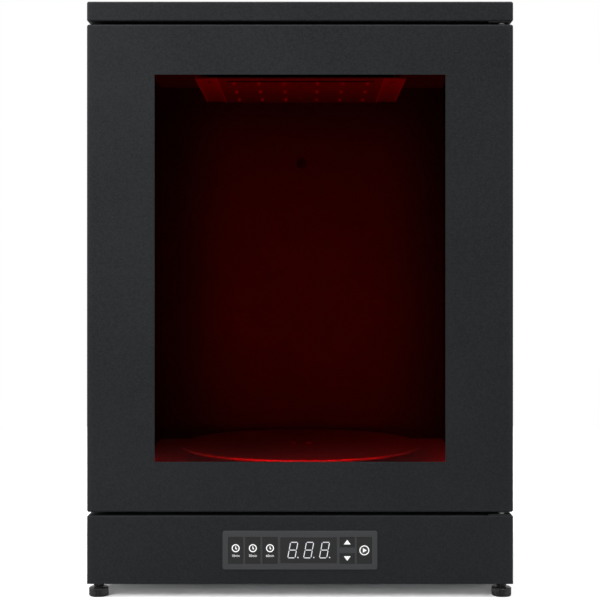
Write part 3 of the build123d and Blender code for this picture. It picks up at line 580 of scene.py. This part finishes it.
def flat_marks(name, shapes, y, material):
    """Thin plates of ink facing the front. A shape is an outline in X and Z, and its hole."""
    points = []
    faces = []
    for outline, hole in shapes:
        first = len(points)
        loops = [outline] + ([hole] if hole else [])
        count = sum(len(loop) for loop in loops)
        for level in (y, y - ink):
            points += [(x / 1000, level, z / 1000) for loop in loops for x, z in loop]
        flat = [[Vector((x, z, 0)) for x, z in loop] for loop in loops]
        for a, b, c in tessellate_polygon(flat):
            faces.append((first + a, first + b, first + c))
            faces.append((first + count + c, first + count + b, first + count + a))
        at = first
        for loop in loops:
            for i in range(len(loop)):
                j = (i + 1) % len(loop)
                faces.append((at + i, at + j, at + count + j, at + count + i))
            at += len(loop)
    return mesh_object(name, points, faces, material)


def circle(x, z, radius, count=48):
    turns = [2 * math.pi * i / count for i in range(count)]
    return [(x + radius * math.cos(turn), z + radius * math.sin(turn)) for turn in turns]


def words(name, text, x, z, height, y, material):
    """Text of this capital height, centred on x with its foot at z, all in millimetres."""
    curve = bpy.data.curves.new(name, "FONT")
    curve.body = text
    curve.align_x = "CENTER"
    curve.size = height / 0.7 / 1000
    curve.extrude = ink / 2
    curve.resolution_u = 4
    source = bpy.data.objects.new(name, curve)
    bpy.context.scene.collection.objects.link(source)
    bpy.context.view_layer.update()
    graph = bpy.context.evaluated_depsgraph_get()
    mesh = bpy.data.meshes.new_from_object(source.evaluated_get(graph))
    bpy.data.objects.remove(source)
    upright = Matrix.Rotation(math.radians(90), 4, "X")
    mesh.transform(Matrix.Translation((x / 1000, y, z / 1000)) @ upright)
    mesh.materials.clear()
    mesh.materials.append(material)
    obj = bpy.data.objects.new(name, mesh)
    bpy.context.scene.collection.objects.link(obj)
    return obj


key_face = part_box("key_start")[0].y
key_middles = {key: (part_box(key)[0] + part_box(key)[1]) * 500 for key in keys}
clock_rise = 2.5
clock_radius = 4.65
dial_radius = 3.5
label_drop = 10.1
label_height = 2.7
for key, minutes in (
    ("key_timer_short", "10min"), ("key_timer_medium", "30min"), ("key_timer_long", "60min"),
):
    x = key_middles[key].x
    z = key_middles[key].z + clock_rise
    disc = flat_marks(f"{key}_disc", [(circle(x, z, dial_radius), None)], key_face, mark_black)
    ring = (circle(x, z, clock_radius), circle(x, z, dial_radius))
    upright = [(x - 0.5, z - 0.6), (x + 0.5, z - 0.6), (x + 0.5, z + 2.2), (x - 0.5, z + 2.2)]
    wedge = [(x - 0.5, z - 0.6), (x + 0.5, z + 0.4), (x + 1.7, z - 0.8), (x + 0.9, z - 1.6)]
    marks = flat_marks(f"{key}_clock", [ring], key_face, mark_white)
    hands = [(upright, None), (wedge, None)]
    hand = flat_marks(f"{key}_hand", hands, key_face - ink, mark_white)
    label_z = z - label_drop
    label = words(
        f"{key}_minutes", minutes, x, label_z, label_height, key_face - ink / 2, mark_white
    )
    for mark in (disc, marks, hand, label):
        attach(mark, key)
arrow_half = 4.0
arrow_rise = 2.7
for key, way in (("key_up", 1), ("key_down", -1)):
    x = key_middles[key].x
    z = key_middles[key].z
    foot = z - way * arrow_rise
    arrow = [(x - arrow_half, foot), (x + arrow_half, foot), (x, z + way * arrow_rise)]
    mark = flat_marks(f"{key}_arrow", [(arrow, None)], key_face, mark_white)
    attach(mark, key)
x = key_middles["key_start"].x
z = key_middles["key_start"].z
start_radius = 5.8
start_inside = 4.65
inside = circle(x, z, start_inside)
disc = flat_marks("key_start_disc", [(inside, None)], key_face, mark_black)
ring = flat_marks("key_start_ring", [(circle(x, z, start_radius), inside)], key_face, mark_white)
arrow = [(x - 1.7, z - 2.6), (x + 2.9, z), (x - 1.7, z + 2.6)]
play = flat_marks("key_start_play", [(arrow, None)], key_face - ink, mark_white)
for mark in (disc, ring, play):
    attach(mark, "key_start")

# ---------------------------------------------------------------- display digits
# Three seven-segment figures with decimal points shine through the lens, all segments on. Each
# segment is a bar of clear plastic over a lamp, with pointed ends and a gap to its neighbours.
lens_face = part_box("display_lens")[0].y
digit_lefts = (-15.0, 3.6, 22.1)
digit_bottom = 46.4
digit_tall = 19.2
digit_wide = 9.5
segment_half = 0.48
segment_gap = 0.5
slant = math.tan(math.radians(10.5))
point_radius = 0.8
point_reach = 3.0
point_rise = 0.9


def segment(a, b):
    """A six-cornered bar between two points, with pointed ends."""
    along = Vector((b[0] - a[0], b[1] - a[1])).normalized()
    across = Vector((-along.y, along.x)) * segment_half
    tip = along * segment_half
    a = Vector(a) + along * segment_gap
    b = Vector(b) - along * segment_gap
    corners = (a, a + tip + across, b - tip + across, b, b - tip - across, a + tip - across)
    return [(p.x, p.y) for p in corners]


segments = []
for left in digit_lefts:
    low = segment_half
    mid = digit_tall / 2
    high = digit_tall - segment_half
    near = segment_half
    far = digit_wide - segment_half
    bars = [
        ((near, low), (far, low)),
        ((near, mid), (far, mid)),
        ((near, high), (far, high)),
        ((near, low), (near, mid)),
        ((near, mid), (near, high)),
        ((far, low), (far, mid)),
        ((far, mid), (far, high)),
    ]
    for a, b in bars:
        outline = [(left + px + slant * pz, digit_bottom + pz) for px, pz in segment(a, b)]
        segments.append((outline, None))
    point = circle(left + digit_wide + point_reach, digit_bottom + point_rise, point_radius, 16)
    segments.append((point, None))

digit_glow, start = new_material("digit_glow")
even = start.noise(300.0)
surface(
    start,
    {
        "Base Color": start.blend(even, (0.62, 0.63, 0.68, 1), (0.68, 0.69, 0.74, 1)),
        "Roughness": 0.5,
        "Emission Color": start.blend(even, (0.90, 0.92, 1.0, 1), grey(1.0)),
        "Emission Strength": 0.26,
    },
)
digits = flat_marks("display_digits", segments, lens_face, digit_glow)
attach(digits, "cabinet")

# ---------------------------------------------------------------- levelling feet
# Each foot is a black plastic pad with a rounded knurl, moulded on a zinc-plated stud. The stud
# screws into a nut in the base plate, so that the foot's height can be set.
foot_black, start = new_material("foot_plastic")
scuff = start.noise(200.0, 2.0)
surface(
    start,
    {
        "Base Color": start.blend(scuff.ramp(0.4, 0.8), grey(0.004), grey(0.008)),
        "Roughness": scuff.ramp(0.3, 0.7, 0.26, 0.4),
        "Specular IOR Level": 0.35,
        "Normal": start.bump(scuff, 0.05, 0.0003),
    },
)


def turned(name, centre, rings, count, material, wave=None, angle=35):
    """A turned solid. rings are (radius, height) in millimetres from its foot to its top; wave may
    change a radius by the place round the axis and the height."""
    points = [(centre[0], centre[1], centre[2] + rings[0][1] / 1000)]
    for radius, height in rings:
        for i in range(count):
            turn = 2 * math.pi * i / count
            reach = (radius + (wave(turn, radius, height) if wave else 0.0)) / 1000
            points.append(
                (
                    centre[0] + reach * math.cos(turn),
                    centre[1] + reach * math.sin(turn),
                    centre[2] + height / 1000,
                )
            )
    points.append((centre[0], centre[1], centre[2] + rings[-1][1] / 1000))
    faces = []
    for i in range(count):
        j = (i + 1) % count
        faces.append((0, 1 + j, 1 + i))
        for row in range(len(rings) - 1):
            low = 1 + row * count
            faces.append((low + i, low + j, low + count + j, low + count + i))
        top = 1 + (len(rings) - 1) * count
        faces.append((top + i, top + j, len(points) - 1))
    return mesh_object(name, points, faces, material, angle)


knurls = 40
knurl_depth = 0.8
pad_radius = 11.5
pad_tall = 10.0
neck_radius = 6.2
stud_radius = 4.0
thread_pitch = 1.25
thread_depth = 0.45


def knurl(turn, radius, height):
    """Grooves round the pad's side, but not on its rounded rims."""
    groove = 0.5 - 0.5 * math.cos(turn * knurls)
    return -knurl_depth * groove if radius > pad_radius - 0.6 else 0.0


def thread(turn, radius, height):
    """A rolled thread."""
    phase = (height / thread_pitch - turn / (2 * math.pi)) % 1.0
    return -thread_depth * abs(2 * phase - 1)


for foot in ("foot_front_left", "foot_front_right", "foot_rear_left", "foot_rear_right"):
    low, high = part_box(foot)
    centre = ((low.x + high.x) / 2, (low.y + high.y) / 2, low.z)
    tall = (high.z - low.z) * 1000
    pad_rings = [
        (9.0, 0.0), (10.4, 0.0), (10.9, 0.4), (11.4, 1.0), (pad_radius, 1.3), (pad_radius, 5.0),
        (pad_radius, 8.7), (11.4, 9.0), (10.6, 9.8), (10.3, pad_tall), (neck_radius, pad_tall),
    ]
    pad = turned(f"{foot}_pad", centre, pad_rings, knurls * 6, foot_black, knurl)
    neck_rings = [(neck_radius, pad_tall - 1.0 + 0.15 * i) for i in range(45)]
    neck = turned(f"{foot}_neck", centre, neck_rings, 48, foot_black, thread)
    turns = int((tall - 16.4) / 0.25)
    stud_rings = [(stud_radius, 15.7 + 0.25 * i) for i in range(turns)]
    stud_rings.append((stud_radius - 0.4, tall))
    stud = turned(f"{foot}_stud", centre, stud_rings, 32, zinc, thread)
    for piece in (pad, neck, stud):
        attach(piece, foot)
    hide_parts(foot)

# ---------------------------------------------------------------- case screws
# Zinc-plated pan-head screws with a cross recess hold the rear panel to the sides' flanges, and
# the plinth's rear to the base plate. Each was driven to its own angle.


def pan_head(name, radius, height, shank, length, cross, way, material):
    """A screw with a cross recess, in millimetres. way turns it from pointing its head up."""
    points = []
    faces = []
    count = 32

    def loop(reach, level):
        first = len(points)
        for i in range(count):
            turn = 2 * math.pi * i / count
            points.append(Vector((reach * math.cos(turn), reach * math.sin(turn), level)))
        return first

    def join(low, high, size):
        for i in range(size):
            j = (i + 1) % size
            faces.append((low + i, low + j, high + j, high + i))

    def cross_loop(scale, level):
        first = len(points)
        arm = cross * scale
        half = cross * 0.27 * scale
        for cx, cy in ((arm, half), (half, half), (half, arm)):
            points.append(Vector((cx, cy, level)))
        for quarter in range(1, 4):
            for k in range(3):
                turned_point = Matrix.Rotation(quarter * math.pi / 2, 3, "Z") @ points[first + k]
                points.append(turned_point)
        return first

    rings = [(shank, -length), (shank, 0.0), (radius, 0.0), (radius, height * 0.35)]
    rings += [(radius * 0.93, height * 0.7), (radius * 0.75, height * 0.93), (radius * 0.6, height)]
    firsts = [loop(*ring) for ring in rings]
    for low, high in zip(firsts, firsts[1:]):
        join(low, high, count)
    top = cross_loop(1.0, height)
    bottom = cross_loop(0.62, height * 0.35)
    join(bottom, top, 12)
    faces.append(tuple(range(bottom, bottom + 12)))
    faces.append(tuple(reversed(range(firsts[0], firsts[0] + count))))
    rim = [points[firsts[-1] + i] for i in range(count)]
    hole = [points[top + i] for i in range(12)]
    index = [firsts[-1] + i for i in range(count)] + [top + i for i in range(12)]
    for triangle in tessellate_polygon([rim, hole]):
        faces.append(tuple(index[i] for i in triangle))
    placed = [way @ (p / 1000) for p in points]
    return mesh_object(name, placed, faces, material, 30)


def repeat(name, prototype, places, axis, seed, material):
    """Copies of the prototype at these places, each turned at random about the axis."""
    tree = bpy.data.node_groups.new(name, "GeometryNodeTree")
    interface = tree.interface
    interface.new_socket("Geometry", in_out="OUTPUT", socket_type="NodeSocketGeometry")
    for label, kind in (
        ("Geometry", "Geometry"), ("Prototype", "Object"), ("Axis", "Vector"), ("Seed", "Int"),
        ("Material", "Material"),
    ):
        interface.new_socket(label, in_out="INPUT", socket_type="NodeSocket" + kind)
    entry = tree.nodes.new("NodeGroupInput")
    info = tree.nodes.new("GeometryNodeObjectInfo")
    chance = tree.nodes.new("FunctionNodeRandomValue")
    turn = tree.nodes.new("ShaderNodeVectorMath")
    copies = tree.nodes.new("GeometryNodeInstanceOnPoints")
    real = tree.nodes.new("GeometryNodeRealizeInstances")
    finish = tree.nodes.new("GeometryNodeSetMaterial")
    exit_node = tree.nodes.new("NodeGroupOutput")
    chance.data_type = "FLOAT"
    chance.inputs[3].default_value = 2 * math.pi
    turn.operation = "SCALE"
    links = (
        (entry.outputs["Geometry"], copies.inputs["Points"]),
        (entry.outputs["Prototype"], info.inputs["Object"]),
        (info.outputs["Geometry"], copies.inputs["Instance"]),
        (entry.outputs["Seed"], chance.inputs["Seed"]),
        (entry.outputs["Axis"], turn.inputs[0]),
        (chance.outputs[1], turn.inputs["Scale"]),
        (turn.outputs[0], copies.inputs["Rotation"]),
        (copies.outputs[0], real.inputs[0]),
        (real.outputs[0], finish.inputs["Geometry"]),
        (entry.outputs["Material"], finish.inputs["Material"]),
        (finish.outputs[0], exit_node.inputs[0]),
    )
    for source, target in links:
        tree.links.new(source, target)
    spots = bpy.data.meshes.new(name + "_places")
    spots.from_pydata([tuple(p) for p in places], [], [])
    carrier = bpy.data.objects.new(name + "_places", spots)
    bpy.context.scene.collection.objects.link(carrier)
    modifier = carrier.modifiers.new(name, "NODES")
    modifier.node_group = tree
    inputs = {s.name: s.identifier for s in interface.items_tree if s.in_out == "INPUT"}
    modifier[inputs["Prototype"]] = prototype
    modifier[inputs["Axis"]] = axis
    modifier[inputs["Seed"]] = seed
    modifier[inputs["Material"]] = material
    bpy.context.view_layer.update()
    graph = bpy.context.evaluated_depsgraph_get()
    mesh = bpy.data.meshes.new_from_object(carrier.evaluated_get(graph))
    mesh.name = name
    carrier.modifiers.clear()
    bpy.data.objects.remove(carrier)
    bpy.data.objects.remove(prototype)
    obj = bpy.data.objects.new(name, mesh)
    bpy.context.scene.collection.objects.link(obj)
    return obj


low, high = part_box("case_screws")
head_radius = 3.2
head_height = 1.8
screw_y = high.y - head_height / 1000
screw_x = high.x - head_radius / 1000
lowest_row = 0.122
row_pitch = 0.132
rear_rows = [lowest_row + row_pitch * i for i in range(5)]
plinth_row = 0.024
plinth_columns = (-0.230, -0.080, 0.080, 0.230)
places = [(side * screw_x, screw_y, z) for side in (-1, 1) for z in rear_rows]
places += [(x, screw_y, plinth_row) for x in plinth_columns]
to_rear = Matrix.Rotation(math.radians(-90), 3, "X")
screw = pan_head(
    "screw", head_radius, head_height, shank=1.6, length=5.0, cross=1.75, way=to_rear, material=zinc
)
screws = repeat("case_screws_cross", screw, places, (0.0, 1.0, 0.0), 3, zinc)
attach(screws, "cabinet")
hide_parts("case_screws")

# ---------------------------------------------------------------- lamp screws
# Ten small pan-head screws, zinc plated, hold the carrier plate at its ends and the lamp board
# at six points. They go up into the heat sink.
plate_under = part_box("led_plate")[0].z
board_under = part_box("led_board")[0].z
places = [(x, y, plate_under) for x in (-0.121, 0.121) for y in (-0.070, 0.080)]
places += [(x, y, board_under) for x in (-0.0715, 0.0, 0.0715) for y in (-0.053, 0.054)]
head_down = Matrix.Rotation(math.radians(180), 3, "X")
screw = pan_head(
    "screw", 2.8, 1.6, shank=1.6, length=3.6, cross=1.5, way=head_down, material=zinc
)
screws = repeat("lamp_screws_cross", screw, places, (0.0, 0.0, 1.0), 5, zinc)
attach(screws, "cabinet")
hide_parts("led_screws")

# ---------------------------------------------------------------- lamp emitters
# Each emitter is a square white chip, soldered on its board, with a clear silicone dome. Eighteen
# hang under the lamp board, and ten stand on each side bar. The domes' faint glow is a painted
# glint, not light of their own.
dome, start = new_material("emitter_dome")
core = start.noise(500.0, 1.0)
surface(
    start,
    {
        "Base Color": start.blend(core, (0.82, 0.78, 0.68, 1), (0.9, 0.88, 0.82, 1)),
        "Roughness": core.ramp(0.2, 0.8, 0.12, 0.22),
        "Coat Weight": 0.5,
        # Painted glint: a faint emission on the domes.
        "Emission Color": start.blend(core, (0.9, 0.9, 0.95, 1), grey(1.0)),
        "Emission Strength": 0.11,
    },
)
dome_radius = 2.3
dome_foot = 0.9
emitter_tall = 3.6
chip_half = 2.6


def emitter(name, way):
    """A chip and its dome in one mesh. way turns it from pointing up."""
    rings = [(dome_radius, 0.1)]
    for i in range(8):
        rise = i * math.pi / 16
        tall = dome_foot + (emitter_tall - dome_foot) * math.sin(rise)
        rings.append((dome_radius * math.cos(rise), tall))
    rings.append((0.25, emitter_tall))
    count = 24
    points = [Vector((0, 0, 0.1))]
    for radius, height in rings:
        for i in range(count):
            turn = 2 * math.pi * i / count
            points.append(Vector((radius * math.cos(turn), radius * math.sin(turn), height)))
    faces = [(0, 1 + (i + 1) % count, 1 + i) for i in range(count)]
    for row in range(len(rings) - 1):
        at = 1 + row * count
        for i in range(count):
            j = (i + 1) % count
            faces.append((at + i, at + j, at + count + j, at + count + i))
    top = 1 + (len(rings) - 1) * count
    faces.append(tuple(range(top, top + count)))
    base = len(points)
    for half, height in ((chip_half, 0.0), (chip_half, 0.7), (chip_half - 0.15, 0.85)):
        for cx, cy in ((-1, -1), (1, -1), (1, 1), (-1, 1)):
            points.append(Vector((cx * half, cy * half, height)))
    faces.append((base, base + 3, base + 2, base + 1))
    for row in (0, 4):
        for i in range(4):
            j = (i + 1) % 4
            faces.append((base + row + i, base + row + j, base + row + 4 + j, base + row + 4 + i))
    faces.append((base + 8, base + 9, base + 10, base + 11))
    return mesh_object(name, [way @ (p / 1000) for p in points], faces, dome, 40)


columns = (0.0222, 0.0553, 0.0884)
rows = (-0.073, -0.007, 0.059)
places = [(side * x, y, board_under) for y in rows for side in (-1, 1) for x in columns]
unturned = (0.0, 0.0, 0.0)
lenses = repeat("lamp_lenses", emitter("chip", head_down), places, unturned, 1, dome)
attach(lenses, "cabinet")
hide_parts("led_emitters")
low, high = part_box("side_led_emitters")
edge = chip_half / 1000
pitch = (high.z - low.z - 2 * edge) / 9
middle_y = (low.y + high.y) / 2
for side, label in ((-1, "left"), (1, "right")):
    places = [(side * high.x, middle_y, low.z + edge + i * pitch) for i in range(10)]
    chip = emitter("chip", Matrix.Rotation(math.radians(-90 * side), 3, "Y"))
    lens = repeat(f"side_lenses_{label}", chip, places, unturned, 1, dome)
    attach(lens, "cabinet")
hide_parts("side_led_emitters")

# ---------------------------------------------------------------- clamp nuts in the door
# Twelve hexagon nuts press the clamp frame on the pane. They are zinc-plated steel, on studs
# welded to the back of the door's skin.
low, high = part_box("pane_nuts")
nut_corner = 3.1
stud_end = 1.5


def hex_nut(name, material):
    """A nut with bevelled corners on its stud, pointing to the rear."""
    count = 48
    points = []
    faces = []
    rings = [
        (1.5, -4.2), (1.5, -2.4), (2.6, -2.4), (nut_corner, -2.1), (nut_corner, -0.3), (2.6, 0.0),
        (1.5, 0.0), (1.5, stud_end),
    ]
    for radius, height in rings:
        for i in range(count):
            turn = 2 * math.pi * i / count
            reach = radius
            if radius > 2.0:
                off_flat = (turn % (math.pi / 3)) - math.pi / 6
                flat = nut_corner * math.cos(math.pi / 6) / math.cos(off_flat)
                reach = min(radius + 0.1, flat)
            points.append(Vector((reach * math.cos(turn), height, reach * math.sin(turn))) / 1000)
    for row in range(len(rings) - 1):
        at = row * count
        for i in range(count):
            j = (i + 1) % count
            faces.append((at + i, at + j, at + count + j, at + count + i))
    faces.append(tuple(range(count)))
    faces.append(tuple(range((len(rings) - 1) * count, len(rings) * count)))
    return mesh_object(name, points, faces, material, 30)


nut_y = high.y - stud_end / 1000
edge = nut_corner / 1000
side_x = high.x - edge
rows = [low.z + edge + i * (high.z - low.z - 2 * edge) / 4 for i in range(5)]
places = [(side * side_x, nut_y, z) for side in (-1, 1) for z in rows]
places += [(0, nut_y, rows[0]), (0, nut_y, rows[4])]
nuts = repeat("clamp_nuts", hex_nut("nut", zinc), places, (0.0, 1.0, 0.0), 4, zinc)
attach(nuts, "door")
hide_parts("pane_nuts")

# ---------------------------------------------------------------- door seal
# A flat strip of black foam rubber, with rounded edges, is glued round the door's inner pan. The
# closed door presses it on the cabinet's frame.
rubber, start = new_material("foam_rubber")
cells = start.noise(1200.0, 2.0)
surface(
    start,
    {
        "Base Color": start.blend(cells, grey(0.008), grey(0.02)),
        "Roughness": cells.ramp(0.2, 0.8, 0.75, 0.9),
        "Normal": start.bump(cells, 0.3, 0.0004),
    },
)
low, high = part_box("door_seal")
strip = 0.007
tall = high.y - low.y
half_section = [(0.0, 0.0), (0.0, 0.6), (0.12, 0.9), (0.3, 1.0)]
section = half_section + [(1.0 - along, rise) for along, rise in reversed(half_section)]
points = []
faces = []
for along, rise in section:
    inset = along * strip
    y = low.y + rise * tall
    points += [
        (low.x + inset, y, low.z + inset), (high.x - inset, y, low.z + inset),
        (high.x - inset, y, high.z - inset), (low.x + inset, y, high.z - inset),
    ]
for row in range(len(section)):
    at = row * 4
    up = ((row + 1) % len(section)) * 4
    for i in range(4):
        j = (i + 1) % 4
        faces.append((at + i, at + j, up + j, up + i))
seal = mesh_object("door_seal_strip", points, faces, rubber, 50)
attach(seal, "door")
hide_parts("door_seal")

# ---------------------------------------------------------------- exhaust fan wheel
# The fan's wheel is one moulding of black plastic, with a cupped hub and seven curved blades. It
# turns on the axle of the fan's frame.
low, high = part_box("fan_rotor")
fan_x = (low.x + high.x) / 2
fan_z = (low.z + high.z) / 2
depth = (high.y - low.y) * 1000
hub_radius = 17.0
hub_depth = 21.5
hub_rings = [
    (hub_radius, 0.0), (hub_radius, 20.0), (16.4, 20.9), (15.2, 21.4), (8.0, hub_depth),
]
hub_rings = [(r, h * depth / hub_depth) for r, h in hub_rings]
to_rear = Matrix.Rotation(math.radians(-90), 4, "X")
wheel = turned("fan_wheel_hub", (0, 0, 0), hub_rings, 64, black_plastic)
wheel.data.transform(Matrix.Translation((fan_x, low.y, fan_z)) @ to_rear)
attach(wheel, "fan_wheel")
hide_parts("fan_rotor")
points = []
faces = []
blade_count = 7
spans = 8
chords = 8
blade_root = 16.0
blade_tip = 36.3
root_pitch = 48
tip_pitch = 32
root_chord = 14.0
tip_chord = 18.0
blade_half = 0.6
for blade in range(blade_count):
    root = len(points)
    for side in (-blade_half, blade_half):
        for i in range(spans + 1):
            out = i / spans
            reach = blade_root + (blade_tip - blade_root) * out
            pitch = math.radians(root_pitch + (tip_pitch - root_pitch) * out)
            for j in range(chords + 1):
                off_middle = 2 * j / chords - 1
                along = off_middle / 2 * (root_chord + (tip_chord - root_chord) * out)
                sweep = blade * 2 * math.pi / blade_count + 0.10 * out
                sweep += along * math.cos(pitch) / reach
                camber = 1.5 * (1 - off_middle ** 2)
                thick = side * (1 - 0.55 * abs(off_middle))
                level = depth / 2 + along * math.sin(pitch) + camber + thick
                points.append(
                    (
                        fan_x + reach * math.cos(sweep) / 1000,
                        low.y + max(0.2, min(depth - 0.2, level)) / 1000,
                        fan_z + reach * math.sin(sweep) / 1000,
                    )
                )
    step = chords + 1
    size = (spans + 1) * step
    for i in range(spans):
        for j in range(chords):
            a = root + i * step + j
            faces.append((a, a + 1, a + 1 + step, a + step))
            b = a + size
            faces.append((b, b + step, b + 1 + step, b + 1))
    rim = [i * step for i in range(spans + 1)]
    rim += [spans * step + j for j in range(1, step)]
    rim += [i * step + chords for i in range(spans - 1, -1, -1)]
    rim += list(range(chords - 1, 0, -1))
    for k in range(len(rim)):
        a = root + rim[k]
        b = root + rim[(k + 1) % len(rim)]
        faces.append((a, b, b + size, a + size))
blades = mesh_object("fan_wheel_blades", points, faces, black_plastic, 40)
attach(blades, "fan_wheel")

# ---------------------------------------------------------------- fan guard
# The guard is welded from round plated wire: four rings, four spokes, and an eye for a screw at
# each corner. It lies on the rear panel, over the fan's opening.
low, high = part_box("fan_guard")
guard_x = (low.x + high.x) / 2
guard_z = (low.z + high.z) / 2
wire = (high.y - low.y) / 4
ring_y = high.y - wire
spoke_y = low.y + wire
wire_sides = 10


def hoop(name, centre, radius, thickness, material, count=72):
    """A ring of round wire that faces the rear."""
    points = []
    faces = []
    for i in range(count):
        turn = 2 * math.pi * i / count
        for k in range(wire_sides):
            way = 2 * math.pi * k / wire_sides
            reach = radius + thickness * math.cos(way)
            points.append(
                (
                    centre[0] + reach * math.cos(turn),
                    centre[1] + thickness * math.sin(way),
                    centre[2] + reach * math.sin(turn),
                )
            )
    for i in range(count):
        here = i * wire_sides
        there = ((i + 1) % count) * wire_sides
        for k in range(wire_sides):
            up = (k + 1) % wire_sides
            faces.append((here + k, here + up, there + up, there + k))
    return mesh_object(name, points, faces, material, 60)


def rod_between(name, a, b, thickness, material):
    """A round wire between two points, with rounded ends."""
    along = Vector(b) - Vector(a)
    turn = Vector((0, 0, 1)).rotation_difference(along.normalized()).to_matrix().to_4x4()
    length = along.length * 1000
    r = thickness * 1000
    rings = [(0.5 * r, 0.0), (r, 0.4 * r), (r, length - 0.4 * r), (0.5 * r, length)]
    rod = turned(name, (0, 0, 0), rings, 12, material, angle=60)
    rod.data.transform(Matrix.Translation(a) @ turn)
    return rod


guard = []
for i, radius in enumerate((0.0352, 0.0272, 0.0192, 0.0112)):
    guard.append(hoop(f"guard_ring_{i + 1}", (guard_x, ring_y, guard_z), radius, wire, zinc))
eye = 0.03575
eye_radius = 0.0034
spoke_from = 0.0075
spoke_to = eye - 0.0024
for i, (sx, sz) in enumerate(((1, 1), (1, -1), (-1, 1), (-1, -1))):
    corner = (guard_x + sx * eye, spoke_y, guard_z + sz * eye)
    guard.append(hoop(f"guard_eye_{i + 1}", corner, eye_radius, wire, zinc, 32))
    inner = (guard_x + sx * spoke_from, spoke_y, guard_z + sz * spoke_from)
    outer = (guard_x + sx * spoke_to, spoke_y, guard_z + sz * spoke_to)
    guard.append(rod_between(f"guard_spoke_{i + 1}", inner, outer, wire, zinc))
for piece in guard:
    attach(piece, "cabinet")
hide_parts("fan_guard")

# ---------------------------------------------------------------- studio
# The cabinet stands on a round white table in a white room. Broad soft lamps light it from the
# left, above and in front. Inside the chamber, one low lamp behind the door lights the ceiling
# and two faint ones light the front corners of its floor.
floor_points = []
floor_faces = []
floor_sides = 96
floor_rings = (0.2, 0.5, 0.9, 1.56)
for ring_radius in floor_rings:
    for i in range(floor_sides):
        turn = 2 * math.pi * i / floor_sides
        floor_points.append((ring_radius * math.cos(turn), ring_radius * math.sin(turn), 0.0))
for row in range(len(floor_rings) - 1):
    at = row * floor_sides
    up = at + floor_sides
    for i in range(floor_sides):
        j = (i + 1) % floor_sides
        floor_faces.append((at + i, at + j, up + j, up + i))
floor_faces.append(tuple(range(floor_sides)))
floor_white, start = new_material("studio_floor")
surface(start, {"Base Color": grey(0.9), "Roughness": 0.9, "Specular IOR Level": 0.0})
floor = mesh_object("studio_floor", floor_points, floor_faces, floor_white)
if floor.data.polygons[0].normal.z < 0:
    floor.data.flip_normals()
floor.visible_diffuse = False

world = bpy.data.worlds.new("surround")
world.use_nodes = True
world.node_tree.nodes.clear()
start = Wire(world.node_tree)
seen = start.node("ShaderNodeLightPath", output="Is Camera Ray")
for kind in ("Is Glossy Ray", "Is Transmission Ray"):
    seen = seen.maths("MAXIMUM", seen, start.node("ShaderNodeLightPath", output=kind))
white = start.node("ShaderNodeBackground", values={"Color": grey(1.0), "Strength": 1.0})
ambient = start.node("ShaderNodeBackground", values={"Color": grey(1.0), "Strength": 0.08})
mixed = start.node("ShaderNodeMixShader", values={0: seen, 1: ambient, 2: white})
start.node("ShaderNodeOutputWorld", values={"Surface": mixed})
bpy.context.scene.world = world


def softbox(name, place, aim, size, power):
    """A rectangular lamp at place, turned to aim."""
    lamp = bpy.data.lights.new(name, "AREA")
    lamp.shape = "RECTANGLE"
    lamp.size = size[0]
    lamp.size_y = size[1]
    lamp.energy = power
    obj = bpy.data.objects.new(name, lamp)
    obj.location = place
    obj.rotation_euler = (Vector(aim) - Vector(place)).to_track_quat("-Z", "Y").to_euler()
    bpy.context.scene.collection.objects.link(obj)
    return obj


softbox("softbox_left", (-1.7, -1.9, 1.7), (0, -0.1, 0.3), (1.0, 1.2), 70)
softbox("softbox_right", (1.8, -1.7, 1.6), (0, -0.1, 0.3), (0.9, 1.2), 2)
softbox("softbox_top", (0.0, 0.3, 2.4), (0, 0.3, 0.0), (3.0, 3.0), 180)
front = softbox("softbox_front", (-0.12, -3.0, 0.85), (0, 0, 0.4), (0.6, 0.8), 20)
front.visible_glossy = False
fill = softbox("chamber_fill", (0.0, -0.205, 0.150), (0.0, 0.0, 0.65), (0.34, 0.02), 1.1)
fill.visible_glossy = False
for side in (-1, 1):
    over = (side * 0.19, -0.12, 0.24)
    under = (side * 0.19, -0.12, 0.0)
    corner = softbox(f"corner_fill_{side}", over, under, (0.06, 0.2), 0.034)
    corner.visible_glossy = False
    corner.visible_camera = False

camera_data = bpy.data.cameras.new("camera")
camera_data.sensor_width = 36.0
camera_data.lens = 69.95
camera_data.shift_x = -0.01
camera_data.shift_y = -0.01733
camera = bpy.data.objects.new("camera", camera_data)
camera.location = (0.007, -1.615, 0.361)
camera.rotation_euler = (math.radians(90), 0, 0)
bpy.context.scene.collection.objects.link(camera)
bpy.context.scene.camera = camera
bpy.context.scene.view_settings.view_transform = "Standard"
